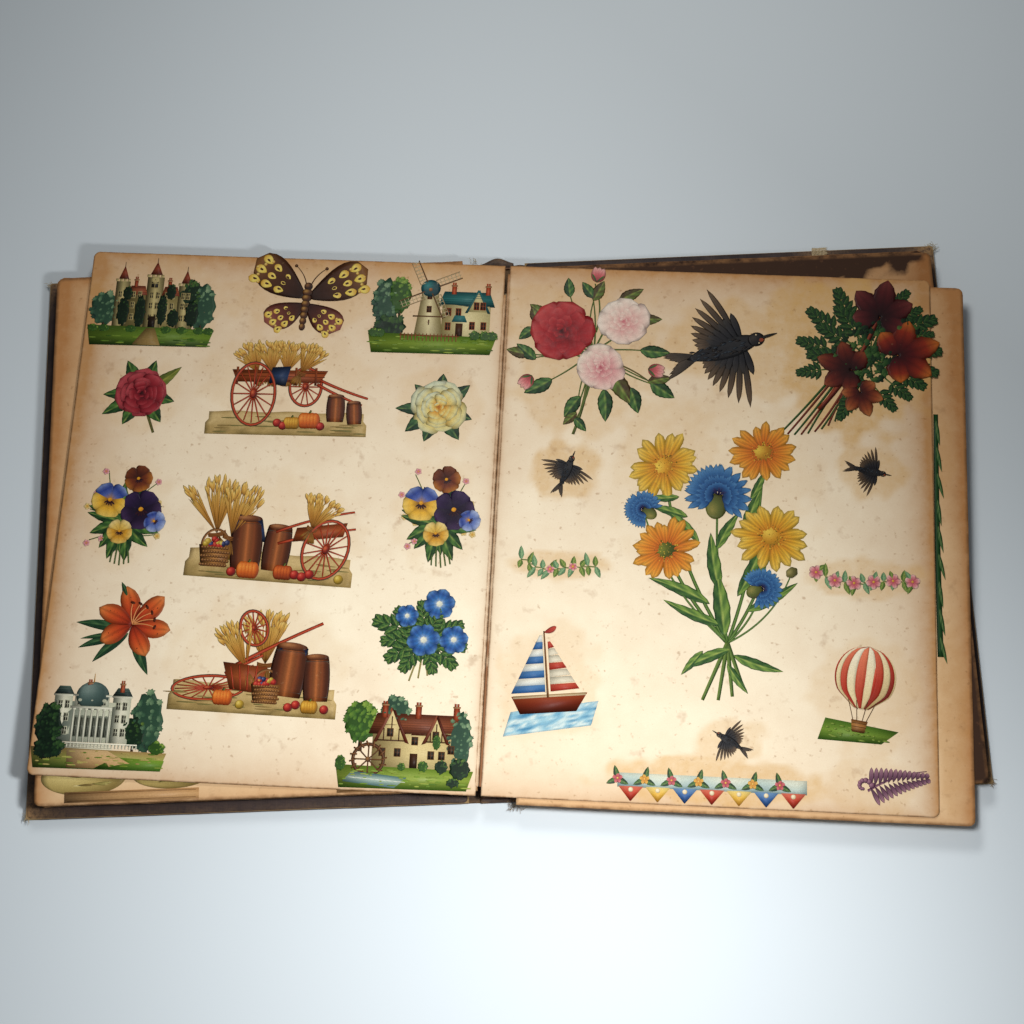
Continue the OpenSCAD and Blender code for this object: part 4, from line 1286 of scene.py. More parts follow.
def window(s, x, y, w, h, frame_ink, arch=False):
    """A dark pane in a frame with one cross, round-headed where arch is set."""
    s.box(x - 0.5, y - 0.5, w + 1, h + 1, frame_ink)
    s.box(x, y, w, h, "#221f1c #4d4c42")
    if arch:
        s.disc((x + w / 2, y + h), w / 2 + 0.4, frame_ink, w / 2, n=4)
        s.disc((x + w / 2, y + h), w / 2, "#3c3a34", w / 2 - 0.3, n=4)
    s.box(x + w / 2 - 0.2, y, 0.4, h, frame_ink)
    s.box(x, y + h * 0.5, w, 0.35, frame_ink)


def roof(s, x, y, w, h, colours, inset):
    """A roof face with courses of slates or tiles."""
    at = gradient(colours)
    s.quad((x - 1, y), (x + w + 1, y), (x + w - inset, y + h), (x + inset, y + h), colours)
    rows = max(2, round(h / 1.6))
    for i in range(1, rows):
        k = i / rows
        left, right = x - 1 + (inset + 1) * k, x + w + 1 - (inset + 1) * k
        s.box(left, y + h * k, right - left, 0.35, lambda j, k=k: [0.62 * c for c in at(k)])


def gable(s, x, y, w, h, colours):
    """A pointed wall or a spire."""
    s.quad((x, y), (x + w, y), (x + w / 2 + 0.05, y + h), (x + w / 2 - 0.05, y + h), colours)


def wall(s, x, y, w, h, colours):
    """A wall shaded from its left end to its right one."""
    s.box(x, y, w, h, colours, True)


def chimney(s, x, y, w, h, colours="#8f3f28 #b85f3c #7a3423"):
    """A stack with its cap and two pots."""
    wall(s, x, y, w, h, colours)
    s.box(x - 0.5, y + h, w + 1, 1.1, "#c9a57c #8f6a4a")
    for i in range(2):
        wall(s, x + 0.3 + i * w * 0.45, y + h + 1, w * 0.35, 2, colours)


SLATE = "#23302e #3f5450 #6b837a"
print("a view is", VIEW_W, "mm wide")

# %% Castle
s = Scrap("castle_view", (-249.3, 150), 0)
tree(s, (-34, -6), 12, 15, MISTY)
tree(s, (35, -2), 11, 20, MISTY)
tree(s, (26, 6), 9, 14, OAK)
wall(s, -27, -20, 56, 26, "#7a7048 #b3a673 #8f8558")
for x, w, h in ((-28, 10, 35), (-6, 12, 39), (17, 10, 33)):
    wall(s, x, -20, w, h, "#6b6240 #cfc391 #e0d5a4 #7d7450")
    for j in range(4):
        s.box(x - 0.6 + j * (w + 1.2) / 4, -20 + h, (w + 1.2) / 6, 2, "#d8cc9c #a89c6c")
    gable(s, x + w * 0.14, -18 + h, w * 0.72, 10, "#5c2a1e #a3543a #6b3324")
    s.stem((x + w / 2, -8.5 + h), (x + w / 2, -5 + h), 0.5, 0.3, "#3c2a1c")
for x, w in ((-18, 12), (6, 11)):
    roof(s, x, 5, w, 7, "#8a4630 #b06a4a #7d3c2a", 1)
for x in (-15, 9):
    chimney(s, x, 11, 2.6, 5)
for x in (-25.5, -16, -11.5, -3, 1.5, 8, 12, 19.5, 23):
    for y in (-14, -5, 3):
        window(s, x, y, 2.1, 4.2, "#c9bd8c")
window(s, -3, 11, 5, 6, "#c9bd8c", True)
s.box(-2.4, -20, 5, 9, "#1c140e #3c2c1e")
for x, y, rx, ry, n in ((-21, -8, 5, 13, 24), (-9, -8, 4.5, 15, 26), (6.5, -6, 4, 14, 24), (28, -8, 5.5, 12, 22),
                        (-19, 6, 4, 6, 10), (15, -12, 5, 8, 14), (12, 8, 4, 7, 12)):
    tree(s, (x, y), rx, ry, "#0c1c12 #1b3820 #3c5f2c #6f8c44", n, False)
lawn(s, 13)
for x in (-41, -33, -14, 11, 22, 34, 41):
    tree(s, (x, -21), 4.5, 3.2, BRIGHT, 9, False)
s.quad((-12, -33), (8, -33), (3, -20), (-3, -20), "#b59c66 #8f7d4c")
on_left_page(s, "view_scraps")
print(s.layers, "patches in the view")

# %% Windmill
s = Scrap("windmill_view", (-50.5, 152), 0)
tree(s, (-34, 4), 11, 22, MISTY, 40)
tree(s, (-24, 10), 9, 16, BRIGHT, 30)
tree(s, (-30, -14), 13, 9, OAK, 26, False)
wall(s, 6, -20, 34, 24, "#b8ac7c #ece4bd #d8cfa2")
roof(s, 4, 3, 38, 11, "#1d4a52 #2f7a80 #58a3a0 #2c666c", 3)
gable(s, 24, -1, 14, 15, "#c9bf8f #ece4bd")
s.quad((22, -2), (24, -2), (31.6, 15), (30.6, 16), "#23565c #4a9094")
s.quad((38, -2), (40, -2), (31.8, 16), (30.8, 15), "#23565c #4a9094")
for x in (12, 36):
    chimney(s, x, 12, 3.4, 6, "#a8482c #cf6f48 #8c3a24")
for x, y in ((9, -4), (16, -4), (28.5, 1), (33, 1), (9, -15), (26, -14), (34, -14)):
    window(s, x, y, 3, 5, "#a85a3a")
s.quad((13, -9), (24, -9), (22, -4), (15, -4), "#2c6a70 #5aa0a0")
s.box(16, -20, 5, 10, "#3c2a20 #6b4a34")
s.quad((-13, -20), (7, -20), (2.5, 15), (-8.5, 15), "#a89c70 #e9e0b8 #f2ecce #a3976a", True)
for y in (-12, -2, 8):
    window(s, -4.6, y, 2.6, 4, "#8c5a3c")
s.disc((-3, 16), 7, "#3f9a9c #1f5a62 #16424a", 6.5)
s.box(-14.5, -6, 23, 1, "#7a5a3c")
for j in range(4):
    a = 24 + 90 * j
    tip = turned((-3, 15), a, 24, 0)
    s.stem((-3, 15), tip, 1.0, 0.8, "#5c3c24 #8c6a44")
    for i in range(7):
        q = turned((-3, 15), a, 6 + 2.8 * i, 0)
        s.stem(q, turned(q, a + 90, 5.2, 0), 0.45, 0.45, "#e9e2c8 #b3a888", steps=2)
    s.stem(turned((-3, 15), a, 6, 5.2), turned((-3, 15), a, 24, 5.2), 0.6, 0.6, "#8c6a44 #d8ccaa")
    s.stem(turned((-3, 15), a, 6, 2.7), turned((-3, 15), a, 24, 2.7), 0.3, 0.3, "#d8ccaa")
s.disc((-3, 15), 1.6, "#c98a4c #5c3420")
lawn(s, 13, "#3c6420 #7fa03c #a8bb55 #6f9438")
for j in range(16):
    s.stem((-22 + 2.6 * j, -24), (-22 + 2.6 * j, -18.5), 0.7, 0.6, "#8c4a34 #b87a5c", steps=2)
s.box(-23, -20.5, 42, 0.7, "#9c5a40")
for x in (-41, -37, 30, 37, 42):
    tree(s, (x, -19), 4.6, 4, BRIGHT, 10, False)
on_left_page(s, "view_scraps")
print(s.layers, "patches in the view")

# %% Garden pavilion
s = Scrap("pavilion_view", (-250.5, -148.5), 0)
tree(s, (30, 0), 12, 23, MISTY, 44)
tree(s, (22, -8), 9, 12, OAK, 22)
wall(s, -32, -16, 50, 27, "#8fa098 #c4ccbc #e9ebdc #d3d6c4")
for x, w in ((-33, 12), (6, 12)):
    wall(s, x, -16, w, 31, "#a9b2a4 #f0f0e2 #c9cdbd")
    roof(s, x, 15, w, 6, SLATE, 2.5)
    s.box(x - 0.8, 14.4, w + 1.6, 1.2, "#f2f2e6 #b9bdae")
s.disc((-8, 15), 11, "#9cb0ac #5f7a78 #3c5250", 9.5, light=(-0.3, 0.5))
s.box(-19.5, 7, 23, 8.5, "#e9ebdc #f4f4ea #b9beb0", True)
for x in (-16, -8, 0):
    window(s, x - 1.2, 9, 2.4, 3, "#c9cdbd", True)
s.box(-21, 14.6, 26, 1.3, "#f6f6ec #b4b8a8")
s.stem((-8, 24), (-8, 30), 0.8, 0.3, "#c9a04c")
for x in (-12, 10):
    chimney(s, x, 18, 3, 5, "#a34a30 #cf7a54 #7d3423")
for x in (-30, -25.4, 8.6, 13.2):
    for y in (-11, -2, 6.5):
        window(s, x, y, 2.4, 4.6, "#d3d6c4")
for j in range(7):
    x = -20 + 4 * j
    s.box(x, -16, 1.5, 22, "#b3b9ab #f6f6ea #a4ab9c", True)
    s.box(x - 0.4, 5.4, 2.3, 1.2, "#f6f6ea #c9cdbd")
    if j < 6:
        window(s, x + 2, -12, 1.6, 13, "#8f978a", True)
s.box(-22, 6.4, 28, 1.6, "#f6f6ec #c2c6b6")
for j in range(4):
    s.box(-22 - j, -17.5 - 1.2 * j, 28 + 2 * j, 1.2, "#c2c2b0 #f2f0e0")
for j in range(28):
    s.box(-38 + 2.3 * j, -19.5, 0.9, 2.8, "#f0f0e2 #b4b8a8")
s.box(-39, -17, 64, 0.8, "#f6f6ea")
lawn(s, 12, "#4c7426 #93ab45 #c9c27c #b59c6c")
s.quad((-20, -33), (30, -33), (6, -21), (-21, -21), "#c9a978 #e3cba0")
s.quad((-2, -33), (42, -33), (44, -26), (12, -25), "#4f7d2c #8fb044")
tree(s, (-35, -6), 10, 18, SHADED, 46)
tree(s, (-33, -20), 12, 8, SHADED, 26, False)
tree(s, (38, -18), 6, 5, BRIGHT, 14, False)
on_left_page(s, "view_scraps")
print(s.layers, "patches in the view")

# %% Water mill
s = Scrap("water_mill_view", (-49, -152), 0)
tree(s, (-30, 10), 13, 16, BRIGHT, 44)
tree(s, (-8, 18), 11, 11, MISTY, 26, False)
tree(s, (35, 0), 9, 22, MISTY, 36)
wall(s, -22, -20, 56, 24, "#b8a878 #e3d6a8 #cfc090")
roof(s, -24, 2, 60, 14, "#5c3020 #8c4f34 #a8694a #6b3826", 4)
gable(s, -20, -2, 20, 21, "#cfc090 #e9ddb2")
gable(s, 12, -2, 15, 16, "#cfc090 #e9ddb2")
for x, w, top_y in ((-20, 20, 19), (12, 15, 14)):
    s.quad((x - 2, -4), (x + 1, -3), (x + w / 2 + 0.5, top_y), (x + w / 2 - 0.5, top_y + 2), "#6b3424 #a3644a")
    s.quad((x + w + 2, -4), (x + w - 1, -3), (x + w / 2 - 0.5, top_y), (x + w / 2 + 0.5, top_y + 2),
           "#7a3c28 #5c2c1e")
    for k in (0.25, 0.5, 0.75):
        s.box(x + w * k - 0.4, -2, 0.8, (top_y + 1) * (1 - abs(2 * k - 1)) * 0.8, "#5c3a22")
    s.box(x + 1, -2.4, w - 2, 0.9, "#5c3a22")
for x in (-17, 5, 30):
    chimney(s, x, 13, 4, 8)
for x, y in ((-12.5, 1), (-17, -12), (-7, -12), (17.5, 0), (15, -13), (22, -13), (28, -9), (4, -4)):
    window(s, x, y, 3.4, 4.6, "#7a5236")
s.box(3, -20, 5, 10, "#2c1c12 #5c3c26")
wheel_at = (-24, -15)
s.ring(wheel_at, 10, 2.2, "#3c2414 #7a5030 #4a2c18", 10)
for j in range(16):
    q = turned(wheel_at, 22.5 * j, 10.8, 0)
    s.stem(turned(wheel_at, 22.5 * j, 8, 0), turned(wheel_at, 22.5 * j + 8, 12.4, 0), 1.1, 1.1,
           "#5c3a20 #94683e", steps=2)
for j in range(4):
    s.stem(turned(wheel_at, 45 * j, 9.6, 0), turned(wheel_at, 45 * j, -9.6, 0), 0.9, 0.9, "#4a2c18 #8c6238")
s.disc(wheel_at, 1.8, "#a87c4c #3c2414")
lawn(s, 13, "#4c7426 #8fae48 #b4bf62 #7f9c40")
s.quad((-40, -30), (-6, -33), (2, -26), (-34, -23), "#7aa0a4 #b9ccc4 #5c8488")
for j in range(9):
    s.stem((-36 + 4 * j, -27 - 0.2 * j), (-31 + 4 * j, -27.4 - 0.2 * j), 0.4, 0.3, "#eef2ea", steps=2)
for x, y, rx, ry in ((-42, -18, 4, 6), (12, -18, 4, 4), (24, -18, 5, 5), (36, -19, 8, 8), (-2, -19, 3, 3),
                     (20, -2, 3, 6), (32, -28, 5, 3)):
    tree(s, (x, y), rx, ry, OAK if x > 20 else BRIGHT, 16, False)
on_left_page(s, "view_scraps")
print("four views pasted")


# %% [markdown]
# The three middle scraps show a farm at harvest: red-wheeled carts, chestnut barrels, sheaves and fruit
# on a strip of tan ground.

# %% Carts and barrels
RED_WOOD = "#7a1f12 #c4452a #e07a50 #8c2a18"
CART_WOOD = "#7a3a1c #b8683a #8c4a26"
YELLOW_GOURD = "#f0cf62 #c9972c #80601c"


def wheel(s, p, rx, ry, angle=0.0, spokes=14):
    """A red cart wheel with an iron tyre, seen aslant where ry differs from rx."""
    for i in range(spokes):
        a = math.radians(360 * i / spokes)
        s.stem(turned(p, angle, rx * 0.1 * math.cos(a), ry * 0.1 * math.sin(a)),
               turned(p, angle, rx * 0.93 * math.cos(a), ry * 0.93 * math.sin(a)), 1.1, 0.8, RED_WOOD, steps=2)
    s.ring(p, rx, 2.0, RED_WOOD, ry, angle)
    s.ring(p, rx + 0.9, 0.5, "#3c2a24 #6b5a50", ry + 0.9, angle)
    s.disc(p, rx * 0.15, "#e88a5c #a33420 #4a150c", ry * 0.15, angle)


def barrel(s, p, w, h, angle=0.0):
    """A chestnut barrel: bellied staves, four hoops and an open head."""
    at = gradient("#2c120a #7d4020 #c47e48 #8a4a26 #38180c")

    def shape(u, t):
        return turned(p, angle, u * w / 2 * (1 - 0.14 * t * t), t * h / 2)

    def staves(u, t):
        return [c * (0.84 + 0.16 * math.cos(14 * u)) for c in at((u + 1) / 2)]
    s.patch(shape, staves, 14, 6)
    for k in (-0.8, -0.42, 0.42, 0.8):
        a = turned(p, angle, -w / 2 * (1 - 0.14 * k * k), k * h / 2)
        b = turned(p, angle, w / 2 * (1 - 0.14 * k * k), k * h / 2)
        s.stem(a, b, 1.3, 1.3, "#1c1714 #5c544a #26201a")
    s.disc(turned(p, angle, 0, h / 2), w / 2 * 0.85, "#c49060 #8a5430 #4a2412", w * 0.12, angle)


print("carts and barrels ready")


# %% Sheaves and fruit
def sheaf(s, p, angle, length, spread=46):
    """Stalks of corn with bearded ears, fanned out and tied at p."""
    for i in range(34):
        a = angle + s.rng.uniform(-spread, spread) * 0.6
        s.petal(p, a, length * s.rng.uniform(0.75, 1.05), 1.5, "#8a5a1e #c9963c #ecd07c", streak=0, edge=0.3,
                bend=s.rng.uniform(-0.12, 0.12), nu=2, nv=5)
        q = turned(p, a, length * s.rng.uniform(0.7, 0.95), 0)
        s.petal(q, a + s.rng.uniform(-14, 14), length * 0.26, 2.2, "#a8702a #e3bd62 #f3e09c", streak=0.3, nu=3, nv=5)
        s.petal(p, a + 180, length * 0.5, 1.3, "#7a5220 #c09040", streak=0, nu=2, nv=3)
    for j in (-1, 0, 1):
        s.stem(turned(p, angle, j, -length * 0.17), turned(p, angle, j, length * 0.17), 1.1, 1.1,
               "#6b3a1c #b07a3c", 0.1)


def gourd(s, p, r, colours="#f3b258 #d9772a #93401a"):
    """A ribbed gourd with its stalk, from the outer ribs to the middle one."""
    for dx, k in ((-0.55, 0.62), (0.55, 0.62), (-0.28, 0.8), (0.28, 0.8), (0, 0.6)):
        s.disc((p[0] + dx * r, p[1]), r * 0.5 * k + r * 0.1, colours, r * 0.78 * (0.86 + 0.1 * k))
    s.stem((p[0], p[1] + r * 0.6), (p[0] + r * 0.15, p[1] + r * 0.95), 1.6, 1.2, "#3f4a20 #7f8a44", steps=3)


def fruit(s, p, r, colours):
    """A round fruit with a glint."""
    s.disc(p, r, colours)
    s.disc((p[0] - r * 0.3, p[1] + r * 0.35), r * 0.2, "#f8ecd8 #e9bda0", n=2)


APPLE = "#e8705a #b32a24 #5c1014"
PEAR = "#efe08a #c4a83c #7a6420"
GRAPE = "#7a86b4 #2c3466 #141633"


def basket(s, p, w, h):
    """A wicker basket with a hoop handle, heaped with fruit."""
    s.ring((p[0], p[1] + h * 0.5), w * 0.42, 1.6, "#6b4322 #b58550", h * 0.75)
    for i in range(16):
        fruit(s, (p[0] + s.rng.uniform(-0.4, 0.4) * w, p[1] + h * 0.5 + s.rng.uniform(-0.05, 0.3) * h),
              w * s.rng.uniform(0.08, 0.12), s.rng.choice((APPLE, APPLE, PEAR, GRAPE)))
    s.quad((p[0] - w * 0.38, p[1] - h / 2), (p[0] + w * 0.38, p[1] - h / 2), (p[0] + w / 2, p[1] + h / 2),
           (p[0] - w / 2, p[1] + h / 2), "#5c3a1c #c49458 #8a5c30", True)
    for i in range(5):
        for j in range(10):
            x = p[0] + (j - 4.5) * w * 0.085 + (i % 2) * 1.1
            y = p[1] - h * 0.42 + i * h * 0.2
            s.disc((x, y), w * 0.05, "#d9ae74 #8a5c30 #5c3a1c", h * 0.07, n=3)


def ground(s, w, y, h, seed):
    """The strip of tan earth that a scrap stands on."""
    at = gradient("#8f7d4c #c4ae78 #dcc99a #cdb682")

    def shape(u, t):
        edge = 1 + 0.03 * math.sin(9 * u + seed)
        return w / 2 * u * (1 - 0.04 * (t > 0) * abs(u)), y + h * (t + 1) / 2 * edge

    def ink(u, t):
        return at(0.5 + 0.35 * t + 0.35 * noise.noise(Vector((u * 7, t * 2.4, seed))))
    s.patch(shape, ink, 30, 6, 0.0)
    for i in range(26):
        p = (s.rng.uniform(-0.46, 0.46) * w, y + h * s.rng.uniform(0.1, 0.8))
        s.disc(p, s.rng.uniform(3, 9), s.rng.choice(("#8f7a48 #b8a26c", "#7a7444 #a39a62")), 0.5, n=4)


print("sheaves, fruit and ground ready")

# %% Harvest cart
s = Scrap("harvest_cart", (-148, 92), 1)
ground(s, 112, -38, 17, 1)
wheel(s, (12, -2), 11, 14)
for x in (-20, -10, 0, 10):
    sheaf(s, (x - 2, 8), 90 + (x + 5) * -1.6, 21)
s.quad((-36, 1), (22, 1), (27, 10), (-40, 10), CART_WOOD)
for j in range(3):
    s.box(-38, 2.2 + 2.8 * j, 63, 0.5, "#4a2010 #6b3218")
for x in (-37, -24, -10, 4, 18):
    s.box(x, -1, 1.6, 13, "#5c2814 #b06036")
s.quad((-14, 0), (-2, -2), (1, 13), (-12, 12), "#111828 #27395f #4a6490 #1c2a48")
s.stem((22, 3), (56, -10), 2.2, 1.6, RED_WOOD, -0.02)
s.stem((20, 0), (52, -15), 2.2, 1.6, RED_WOOD, -0.02)
wheel(s, (-24, -8), 15, 23, 0, 16)
barrel(s, (34, -18), 13, 19)
barrel(s, (47, -21), 11, 16, 4)
gourd(s, (16, -27), 8)
gourd(s, (4, -29), 6, YELLOW_GOURD)
for x, y in ((-2, -31), (24, -31), (-6, -29)):
    fruit(s, (x, y), 3, APPLE)
on_left_page(s, "harvest_scraps")
print(s.layers, "patches in the cart scene")

# %% Harvest barrels
s = Scrap("harvest_barrels", (-149, -13.5), -2)
ground(s, 114, -37, 20, 2)
sheaf(s, (-38, -6), 104, 36)
sheaf(s, (-28, -8), 82, 34)
barrel(s, (-17, -12), 22, 36, 2)
barrel(s, (4, -14), 19, 31, -3)
s.quad((-28, -6), (-4, -10), (-8, 6), (-26, 9), "#101624 #263658 #42588a #18233c")
basket(s, (-38, -22), 22, 15)
gourd(s, (-14, -30), 8)
gourd(s, (10, -30), 7, "#e88a3c #b85420 #702c12")
s.stem((2, -2), (54, 16), 2.0, 1.4, RED_WOOD, 0.03)
s.stem((4, -10), (56, 4), 2.0, 1.4, RED_WOOD, 0.02)
sheaf(s, (26, 2), 70, 22, 60)
s.quad((14, -8), (48, -2), (50, 8), (16, 2), CART_WOOD)
wheel(s, (37, -12), 15, 21, -16, 16)
for x, y in ((18, -31), (23, -32), (28, -30), (-25, -32), (48, -32)):
    fruit(s, (x, y), 3.2, s.rng.choice((APPLE, PEAR)))
on_left_page(s, "harvest_scraps")
print(s.layers, "patches in the barrel scene")

# %% Harvest barrow
s = Scrap("harvest_barrow", (-152, -103), -1)
ground(s, 112, -38, 20, 3)
wheel(s, (-30, -22), 24, 8, 5, 18)
sheaf(s, (6, -4), 92, 32)
sheaf(s, (-6, -8), 112, 30)
s.stem((-14, -6), (42, 26), 2.6, 2.0, RED_WOOD, 0.01)
s.stem((-20, -12), (4, 2), 2.6, 2.0, RED_WOOD)
wheel(s, (-4, 20), 9, 12, 20, 14)
barrel(s, (22, -8), 24, 34, -4)
barrel(s, (41, -12), 18, 30, 3)
s.quad((12, 0), (30, -4), (34, 8), (16, 10), "#101624 #23325a #42588a #18233c")
s.quad((-16, -22), (2, -24), (8, -6), (-22, -4), CART_WOOD)
for j in range(4):
    s.stem((-17 + 6 * j, -6 + 0.2 * j), (-13 + 4.4 * j, -22), 1.2, 1.2, RED_WOOD, steps=2)
basket(s, (8, -24), 20, 13)
gourd(s, (-20, -28), 7)
gourd(s, (38, -31), 6, YELLOW_GOURD)
for x, y in ((-8, -32), (24, -32), (29, -30), (48, -32)):
    fruit(s, (x, y), 3, s.rng.choice((APPLE, PEAR, APPLE)))
on_left_page(s, "harvest_scraps")
print("harvest pasted")

# %% [markdown]
# Wings are made of petals too. On the butterfly they are broad and spotted. On the swallows they are narrow
# feathers: the long ones are laid first, and short ones cover their quills.

# %% Butterfly
s = Scrap("butterfly", (-141, 155), -4)
for side in (-1, 1):
    for p, a, l, w, colours in (((0, -2), 90 - side * 128, 32, 21, "#2c120c #5c2a1c #8a4a3c #b8786c"),
                                ((0, 2), 90 - side * 62, 48, 27, "#2a140c #4d2a18 #6b3e20 #a87a4c")):
        s.petal(p, a, l, w, colours, belly=0.66, blunt=0.5, bend=0.1 * side, streak=0.1, nu=8, nv=10)
        for i in range(3):
            for j in (-1, 0, 1):
                q = turned(p, a, l * (0.34 + 0.2 * i), j * w * (0.17 + 0.06 * i))
                s.petal(q, a + 12 * j, l * 0.19, w * 0.24, "#e6cf5c #f3e48c #d9b040", belly=0.6, blunt=0.55, edge=0.1,
                        streak=0)
                s.petal(turned(q, a, l * 0.016, 0), a + 12 * j, l * 0.155, w * 0.175, "#3c1a12 #5c2c1c #7a4426",
                        belly=0.6, blunt=0.55, edge=0.2, streak=0.1)
        for j in range(5):
            q = turned(p, a, l * 0.9 - abs(j - 2) * l * 0.07, (j - 2) * w * 0.17)
            s.disc(q, w * 0.045, "#f3e6a4 #c99c3c", n=3)
    s.stem((side, 9), (side * 11, 26), 0.8, 0.4, "#2c160e #5c3a24", 0.1 * side)
    s.disc((side * 11, 26), 1.2, "#8a5c34 #2c160e", n=3)
for i in range(7):
    s.disc((0, -20 + 4.4 * i), 2.2 + 0.24 * i, "#c9a25c #6b4020 #2c160c", 2.8)
s.disc((0, 11), 3, "#a87c4c #4a2a18 #1c0e08")
on_left_page(s, "butterfly_scrap")
print(s.layers, "patches in the butterfly")

# %% Swallows
DUSK = "#14131a #2c2a30 #54483c"


def swallow(s, size):
    """A swallow gliding to the right, seen from above."""
    for m in (-1, 1):
        for i in range(4):
            s.petal((-0.42 * size, 0), 180 + m * (4 + 5 * i), size * (0.42 + 0.08 * i), size * 0.075,
                    "#1a1a20 #4a4038 #6b5a48", streak=0.25, edge=0.5)
        for i in range(9):
            s.petal(((0.2 - 0.045 * i) * size, m * 0.05 * size), m * (98 + 8 * i), size * (0.98 - 0.085 * i),
                    size * 0.1, "#14131a #33302f #6b5744 #8a745a", bend=m * 0.06, streak=0.3, edge=0.5)
        for i in range(6):
            s.petal(((0.24 - 0.05 * i) * size, m * 0.03 * size), m * (92 + 11 * i), size * (0.5 - 0.03 * i),
                    size * 0.11, "#101018 #26262f #4a4440", streak=0.25, edge=0.5)
    s.petal((-0.66 * size, 0), 0, size * 1.2, size * 0.34, "#26242a #17171f #2f3036 #1c1a1e", belly=0.55, blunt=0.7,
            nu=8, nv=12)
    for i in range(40):
        p = (s.rng.uniform(-0.5, 0.3) * size, s.rng.uniform(-0.11, 0.11) * size)
        s.petal(p, 180 + s.rng.uniform(-14, 14), size * 0.1, size * 0.035, s.rng.choice((DUSK, "#2a3444 #55616e")),
                nu=2, nv=3)
    s.disc((0.45 * size, 0), size * 0.13, "#4a4440 #1c1a20 #0e0d12", size * 0.11)
    s.petal((0.53 * size, 0), 0, size * 0.26, size * 0.05, "#2c2620 #12100e", belly=0.3)
    s.petal((0.46 * size, -0.02 * size), -10, size * 0.1, size * 0.09, "#8a3c24 #b8603a", belly=0.5)
    for m in (-1, 1):
        s.disc((0.47 * size, m * 0.07 * size), size * 0.016, "#f0e6cc #c9b48a", n=3)


for i, (x, y, turn, size) in enumerate(((156, 131, 20, 46), (48, 37, 70, 19), (254, 44.5, -10, 18),
                                        (161, -144, 150, 16))):
    s = Scrap(f"swallow_{i + 1}", (x, y), turn)
    swallow(s, size)
    on_right_page(s, "swallow_scraps")
print("four swallows pasted")

# %% [markdown]
# The autumn spray is a bed of ferny leaves and small lobed discs, with four big leaves laid on top. Each
# garland repeats a pair of leaves along a wavy line, and the green stem is a long stalk with narrow leaves.

# %% Autumn leaves
s = Scrap("autumn_leaves", (245, 126))


def lobed_leaf(s, p, r, angle, colours):
    """A leaf of five pointed lobes round one stalk."""
    for a, l in ((-104, 0.66), (104, 0.66), (-52, 0.88), (52, 0.88), (0, 1.0)):
        s.petal(p, angle + a, r * l, r * 0.62, colours, belly=0.5, blunt=0.75, streak=0.22, edge=0.5, nu=8, nv=12,
                teeth=5)
        s.stem(p, turned(p, angle + a, r * l * 0.86, 0), 0.9, 0.3, "#c47a44 #e0a86c")


PINE = "#0c2214 #1b4022 #376230 #6b8a48"
for i in range(11):
    s.stem((-4 + i, 4 - i), (-52 + 4.6 * i, -56 - 1.2 * i + 0.3 * i * i), 2.0, 1.3,
           ("#1c3a1a #4c7a38", "#54201a #9c4a2c")[i % 2], s.rng.uniform(-0.05, 0.05), 10)
for x, y, a, l in ((-12, 18, 140, 26), (-16, 6, 165, 24), (26, 22, 20, 28), (32, 8, 0, 24), (-4, 26, 110, 26),
                   (24, -6, -30, 24), (-20, -8, 190, 20), (22, 36, 50, 20), (30, -2, -14, 24), (2, 6, 210, 22),
                   (12, -20, -50, 20), (-2, -26, 240, 20), (36, 18, 10, 16), (10, 12, 90, 26), (18, 4, 60, 26),
                   (-2, 10, 150, 26), (-6, 0, 175, 26), (4, 14, 125, 28), (28, 30, 30, 18), (20, -14, -40, 20)):
    s.stem((8, 2), (x, y), 1.6, 1.0, "#1c3a1a #4c7a38")
    ferny(s, (x, y), a, l, PINE)
at = gradient(PINE)
for i in range(190):
    a, r, k = s.rng.uniform(0, 360), math.sqrt(s.rng.random()), s.rng.uniform(0.05, 0.8)
    s.disc(turned((12, 8), 40, 34 * r * math.cos(a), 21 * r * math.sin(a)), s.rng.uniform(2.6, 4.6),
           lambda j, k=k: at(k + 0.2 - 0.4 * j), s.rng.uniform(1.8, 3.0), s.rng.uniform(0, 90), lobes=5, depth=0.4)
s.stem((18, 40), (-26, -38), 2.6, 3.2, "#3c140e #7a3020 #b35c38", 0.05, 12)
lobed_leaf(s, (16, 32), 29, 78, "#20060a #45101a #6b2428 #8c4440")
lobed_leaf(s, (28, 4), 31, 20, "#2c0810 #6b1518 #a83c20 #dc8c3c")
lobed_leaf(s, (-4, -8), 25, 160, "#20080a #4a1214 #7c2c1e #a85c38")
lobed_leaf(s, (2, -24), 19, -70, "#2c0c0e #6b2418 #a85830 #cc8c54")
on_right_page(s, "autumn_leaf_scrap")
print(s.layers, "patches in the autumn spray")

# %% Garlands and green stem
for name, x, y, reach, pinks in (("garland_left", 45, -30, 25, False), ("garland_right", 249, -31, 32, True)):
    s = Scrap(name, (x, y), -4)
    for i in range(11):
        k = i / 10 * 2 - 1
        q = (k * reach, 4 * k * k - 3 + 2 * math.sin(3 * k))
        for j in (-1, 1):
            s.leaf(q, 90 * j + s.rng.uniform(-40, 40), s.rng.uniform(6, 10), 4,
                   s.rng.choice(("#4a7a54 #86b08a #c0d4a8", "#3f6b34 #7f9c4a #c4cf86")), teeth=3)
        if i < 10:
            s.stem(q, (q[0] + reach / 5, q[1]), 0.9, 0.8, "#6b7a44 #a3b072", steps=3)
        if pinks and i % 2 == 0 or not pinks and i in (4, 7):
            for j in range(5):
                s.petal(q, 72 * j + 9 * i, 5.2 if pinks else 3, 4.6 if pinks else 2.6, "#c4506a #e89aa4 #f6dcd6",
                        blunt=0.45)
            s.disc(q, 1.1, "#f0d06a #c98a34", n=4)
    on_right_page(s, "garland_scraps")

